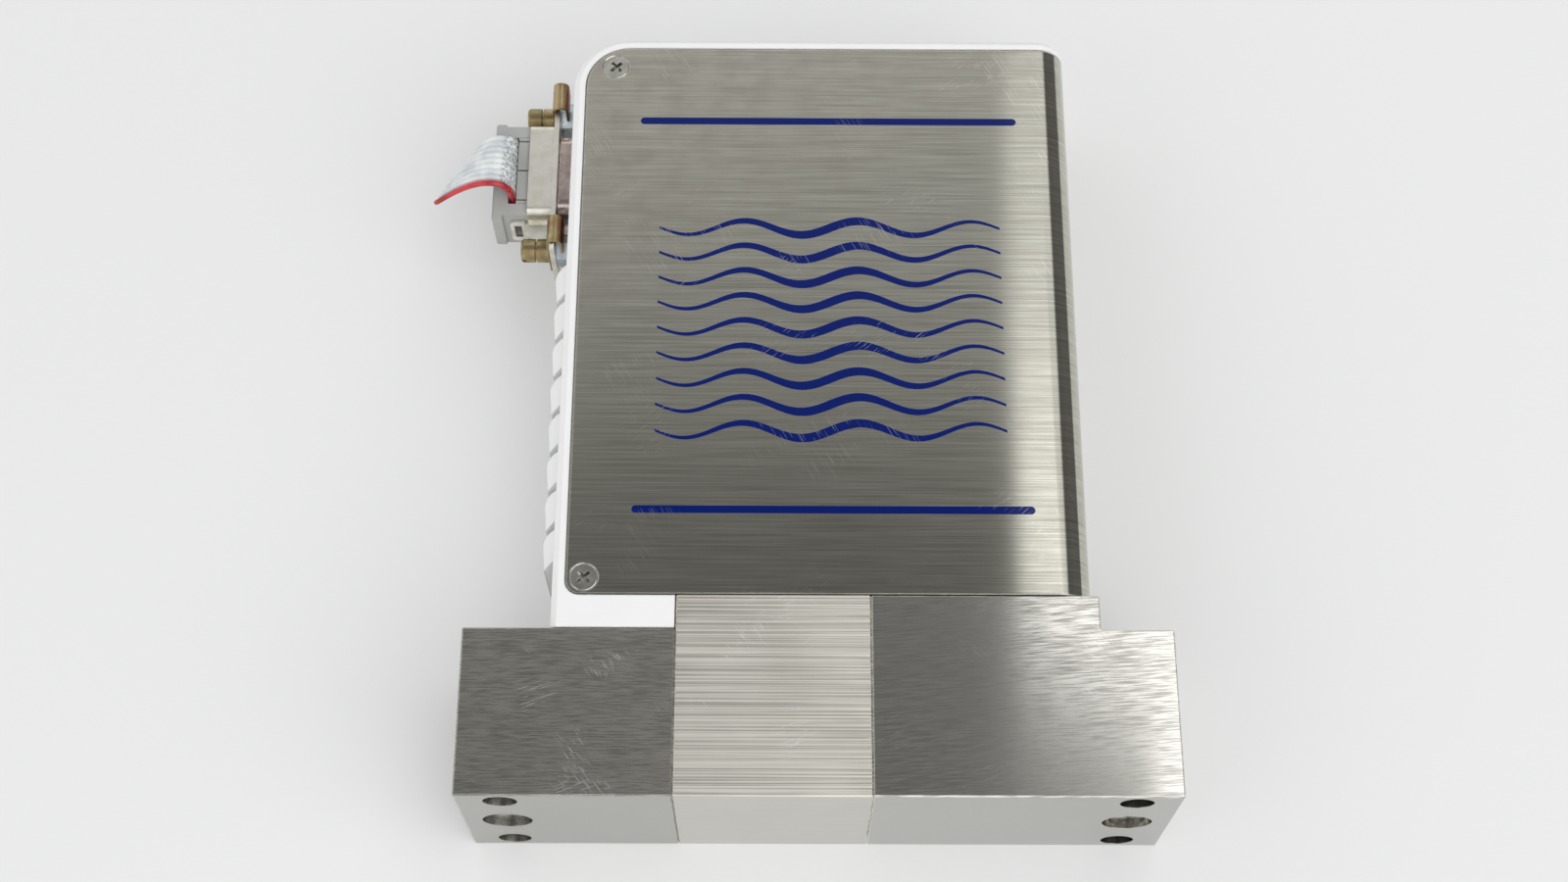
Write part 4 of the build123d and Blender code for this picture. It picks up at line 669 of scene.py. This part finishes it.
# Painted shade in the creases near the clamp: the run of the crease noise that it darkens over, how
# much of it is laid on, and how light its tone is beside the insulation's darker one.
CREASE_PAINTED_SHADE_RUN = (0.53, 0.43)
CREASE_PAINTED_SHADE_SHARE = 0.75
CREASE_SHADE = 0.35           # how light a crease is beside the insulation's darker tone
SMOOTH_LEFT = 0.1             # how much of the creases is left away from the clamp


def insulation(name, colour, shade):
    """Soft glossy insulation, crushed and creased where the clamp grips it, with painted shade
    darkening the creases.
    """
    look = Look(name, colour, roughness=0.28)
    crushed = look.spread(look.axes(look.place)[0], *CRUSHED_X)
    crease = look.noise(0.9, 0.42, tilt=0.7, detail=4.0)
    cloud = look.spread(look.noise(3.0, detail=2.0), *PLASTIC_CLOUDS)
    tone = look.blend(cloud, shade, colour)
    # Painted shade: the creases near the clamp are darkened in the colour.
    dark = look.times(look.spread(crease, *CREASE_PAINTED_SHADE_RUN), crushed)
    painted_crease_shade = tuple(CREASE_SHADE * value for value in shade)
    look.set("Base Color", look.blend(look.times(dark, CREASE_PAINTED_SHADE_SHARE), tone, painted_crease_shade))
    look.set("Coat Weight", 0.25)
    height = look.times(crease, look.line(crushed, 1 - SMOOTH_LEFT, SMOOTH_LEFT))
    look.relief(height, depth=0.2, strength=0.7)
    return look.material


LAMINATE_DARK = (0.015, 0.1, 0.045)
LAMINATE_LIGHT = (0.03, 0.16, 0.07)
LAMINATE_TRACK = (0.06, 0.26, 0.11)
TRACK_SHARE = 0.5


def laminate():
    """Green board laminate: weave under the lacquer and paler tracks."""
    look = Look("board_laminate", (0.02, 0.13, 0.06), roughness=0.35)
    weave = look.noise(0.7, detail=1.0)
    tracks = look.spread(look.noise(9.0, 0.9, detail=0.0, offset=2.0), 0.5, 0.53)
    tone = look.blend(look.spread(weave, 0.4, 0.6), LAMINATE_DARK, LAMINATE_LIGHT)
    look.set("Base Color", look.blend(look.times(tracks, TRACK_SHARE), tone, LAMINATE_TRACK))
    look.relief(look.math("ADD", weave, tracks), depth=0.02, strength=0.4)
    return look.material


def wound_copper():
    """Enamelled wire, wound close, its colour darker in the grooves between the windings as painted
    shade.
    """
    look = Look("copper_wire", (0.62, 0.27, 0.11), metallic=1.0, roughness=0.3)
    wave = look.add("ShaderNodeTexWave", bands_direction="Y")
    look.feed(look.place, wave.inputs["Vector"])
    wave.inputs["Scale"].default_value = 0.9
    wave.inputs["Distortion"].default_value = 0.4
    turns_and_groove_shade = wave.outputs[1]
    # Painted shade: the tone darkens in the grooves between the windings, where the bump is low.
    look.set("Base Color", look.blend(turns_and_groove_shade, (0.4, 0.14, 0.05), (0.7, 0.33, 0.14)))
    look.relief(turns_and_groove_shade, depth=0.1, strength=0.8)
    return look.material


# The finish of each material slot of the record. Two tones are a metal's or a skin's lighter and
# darker one.
LOOKS = {
    "cover_steel": cover_steel(),
    "screw_steel": plated_steel("screw_bright", (0.62, 0.61, 0.57), (0.46, 0.45, 0.42), 0.2),
    "inner_steel": plated_steel("inner_turned", (0.66, 0.66, 0.65), (0.5, 0.5, 0.5), 0.3),
    "housing_white": moulded("housing_white", (0.88, 0.885, 0.88), 0.42, shaded=0.022, edge=0.4),
    "shell_tin": plated_steel(
        "shell_tinned", (0.88, 0.86, 0.79), (0.70, 0.67, 0.59), 0.34, period=2.4
    ),
    "chromate": chromated_steel(),
    "standoff_steel": plated_steel("standoff_zinc", (0.52, 0.57, 0.6), (0.33, 0.38, 0.42), 0.3),
    "plug_grey": moulded("plug_grey", (0.44, 0.445, 0.43), 0.5),
    "black_plastic": moulded("black_moulded", (0.02, 0.02, 0.022), 0.45, shaded=0.22),
    "board_green": laminate(),
    "copper": wound_copper(),
    "contact_gold": plated_steel("contact_gilt", (0.83, 0.6, 0.22), (0.6, 0.4, 0.14), 0.22),
    "capacitor_can": plated_steel("capacitor_can", (0.78, 0.79, 0.8), (0.6, 0.6, 0.62), 0.3),
    "cable_grey": insulation("cable_grey", (0.80, 0.83, 0.84), (0.60, 0.64, 0.66)),
    "cable_red": insulation("cable_red", (0.62, 0.035, 0.05), (0.36, 0.012, 0.02)),
}

# Nodes that look different from the rest of their slot.
OWN_LOOKS = {node: ground_steel(**finish) for node, finish in GROUND_BLOCKS.items()}
# The device's tinned D-shell, tinted pink: painted reflection of the brownish parts round it.
OWN_LOOKS["socket_shell"] = plated_steel(
    "socket_shell_tin_pink_reflection", (0.66, 0.56, 0.53), (0.42, 0.33, 0.3), 0.26, period=1.8
)


def paint(piece, material):
    """Gives every material slot of a piece the one material."""
    if not piece.material_slots:
        piece.data.materials.append(material)
    for holder in piece.material_slots:
        holder.material = material


slot_of = {part["node"]: part["material_slot"] for part in frame["record"]["subparts"]}
for node_name, piece in nodes.items():
    paint(piece, OWN_LOOKS.get(node_name) or LOOKS[slot_of[node_name]])

# ---------------------------------------------------------------- the cut flat cable

# Each conductor leaves the clamp's slot straight up and bends over to its cut end. The first
# route is the red conductor's, the last the far one's, both as steps in X and Z from the slot.
RED_ROUTE = [(0.0, 9.4), (-6.8, 9.4), (-12.53, 3.0)]
FAR_ROUTE = [(0.0, 6.4), (-4.8, 6.4), (-7.8, -0.4)]
CABLE_START = (0.0, -4.4)
CONDUCTORS = 9
PITCH = 1.27
RADIUS = 0.58
WEB = 0.16
# How far along the cable, of one, it leaves the slot and its first bend ends.
SLOT_END = 0.2
FIRST_BEND_END = 0.6
# A step along the cable, of one, that is short enough to give its direction.
SMALL_STEP = 0.01
# Rings of points along the cable, and the points' places across one conductor.
STATIONS = 72
SECTION_STEPS = (-0.635, -0.60, -0.53, -0.40, -0.21, 0.0, 0.21, 0.40, 0.53, 0.60, 0.635)
# The creases: how deep, how far they reach from their middle on the first bend, how long that bend
# is, how close together they are, and the slice of the noise that they come from.
CREASE = 0.16
CREASE_REACH = 3.0
CREASE_MIDDLE = 0.6
FIRST_BEND_LENGTH = 8.0
CREASES_ACROSS = 2.4
CREASES_IN_X = 1.1
CREASES_IN_Z = 1.2
CREASE_SLICE = 3.0
# The copper strands of a conductor: one in the middle and the others in a ring round it.
STRANDS = 7
STRAND_SET_BACK = -0.05
STRAND_RING = 0.19
STRAND_RADII = (0.09, 0.07)
STRAND_LENGTH = 0.16
STRAND_SIDES = 8


def between(first, last, share):
    return tuple(a + (b - a) * share for a, b in zip(first, last))


def bend(start, middle, end, share):
    """A point on the parabola that leaves start towards middle and reaches end."""
    return between(between(start, middle, share), between(middle, end, share), share)


def line_point(across, along):
    """The cable's middle `across` mm from the red conductor, `along` from 0 to 1 at the cut."""
    share = across / (PITCH * (CONDUCTORS - 1))
    turn, crest, end = [between(near, far, share) for near, far in zip(RED_ROUTE, FAR_ROUTE)]
    slot_end = (0.0, SLOT_TOP)
    half = between(turn, crest, 0.5)
    if along < SLOT_END:
        step = between(CABLE_START, slot_end, along / SLOT_END)
    elif along < FIRST_BEND_END:
        step = bend(slot_end, turn, half, (along - SLOT_END) / (FIRST_BEND_END - SLOT_END))
    else:
        step = bend(half, crest, end, (along - FIRST_BEND_END) / (1 - FIRST_BEND_END))
    y = SLOT_Y - BASE_Y + across - PITCH * (CONDUCTORS - 1) / 2
    return Vector((SLOT_X - BASE_X + step[0], y, MIDDLE_Z + step[1]))


def line_normal(across, along):
    """The direction out of the cable's flat side."""
    ahead = line_point(across, min(along + SMALL_STEP, 1.0))
    behind = line_point(across, max(along - SMALL_STEP, 0.0))
    return Vector((0.0, 1.0, 0.0)).cross(ahead - behind).normalized()


def creased(place, across, along):
    """How far the insulation is pushed in or out where the clamp has crushed it."""
    past = (along - SLOT_END) / (FIRST_BEND_END - SLOT_END) * FIRST_BEND_LENGTH
    fade = max(0.0, 1.0 - abs(past - CREASE_MIDDLE) / CREASE_REACH)
    where = (
        place.x * CREASES_IN_X,
        across * CREASES_ACROSS + place.z * CREASES_IN_Z,
        CREASE_SLICE,
    )
    return CREASE * fade * noise.noise(Vector(where))


def add_piece(name, shape, material):
    """Makes a piece of a mesh in edit form, which rides with the controller's fixed body."""
    mesh = bpy.data.meshes.new(name)
    shape.to_mesh(mesh)
    shape.free()
    piece = bpy.data.objects.new(name, mesh)
    put_in_scene(piece)
    paint(piece, material)
    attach(piece, "controller")
    return piece


def strip_ring(offsets, low_side, high_side, along):
    """The points round the strip's section at one place along it."""
    upper = []
    lower = []
    for across, step in offsets:
        inside = min(max(across, low_side), high_side)
        core = math.sqrt(max(RADIUS ** 2 - step ** 2, 0.0))
        height = max(core, WEB) if inside == across else 0.0
        middle = line_point(inside, along)
        normal = line_normal(inside, along)
        push = creased(middle, inside, along)
        upper.append(middle + normal * (height + push))
        lower.append(middle - normal * (height - push))
    return upper + lower[::-1][1:-1]


def cable_strip(slot_name, first, last, node):
    """The conductors from first to last as one strip: round cores joined by thin webs."""
    offsets = []
    for number in range(first, last + 1):
        steps = SECTION_STEPS if number == first else SECTION_STEPS[1:]
        offsets += [(number * PITCH + step, step) for step in steps]
    sides = (first * PITCH - RADIUS, last * PITCH + RADIUS)
    shape = bmesh.new()
    rings = []
    for station in range(STATIONS + 1):
        places = strip_ring(offsets, *sides, station / STATIONS)
        rings.append([shape.verts.new(place * MM) for place in places])
    count = len(rings[0])
    for near, far in zip(rings, rings[1:]):
        for index in range(count):
            after = (index + 1) % count
            shape.faces.new((near[index], near[after], far[after], far[index]))
    shape.faces.new(rings[0][::-1])
    shape.faces.new(rings[-1])
    bmesh.ops.recalc_face_normals(shape, faces=shape.faces)
    piece = add_piece(slot_name + "_strip", shape, LOOKS[slot_name])
    piece.data.shade_smooth()
    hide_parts(node)


def strands():
    """The bare ends of the copper strands at the cut."""
    shape = bmesh.new()
    for number in range(CONDUCTORS):
        end = line_point(number * PITCH, 1.0)
        ahead = (end - line_point(number * PITCH, 1.0 - SMALL_STEP)).normalized()
        turn = ahead.to_track_quat("Z", "Y").to_matrix().to_4x4()
        for strand in range(STRANDS):
            reach = 0.0 if strand == 0 else STRAND_RING
            angle = strand * math.tau / (STRANDS - 1)
            offset = (reach * math.cos(angle), reach * math.sin(angle), STRAND_SET_BACK)
            place = Matrix.Translation(end) @ turn @ Matrix.Translation(offset)
            bmesh.ops.create_cone(
                shape, cap_ends=True, segments=STRAND_SIDES, radius1=STRAND_RADII[0],
                radius2=STRAND_RADII[1], depth=STRAND_LENGTH, matrix=Matrix.Scale(MM, 4) @ place,
            )
    bare = plated_steel("bare_copper", (0.78, 0.38, 0.2), (0.55, 0.24, 0.12), 0.25)
    add_piece("cable_strands", shape, bare)


cable_strip("cable_red", 0, 0, "ribbon_red")
cable_strip("cable_grey", 1, CONDUCTORS - 1, "ribbon_grey")
strands()
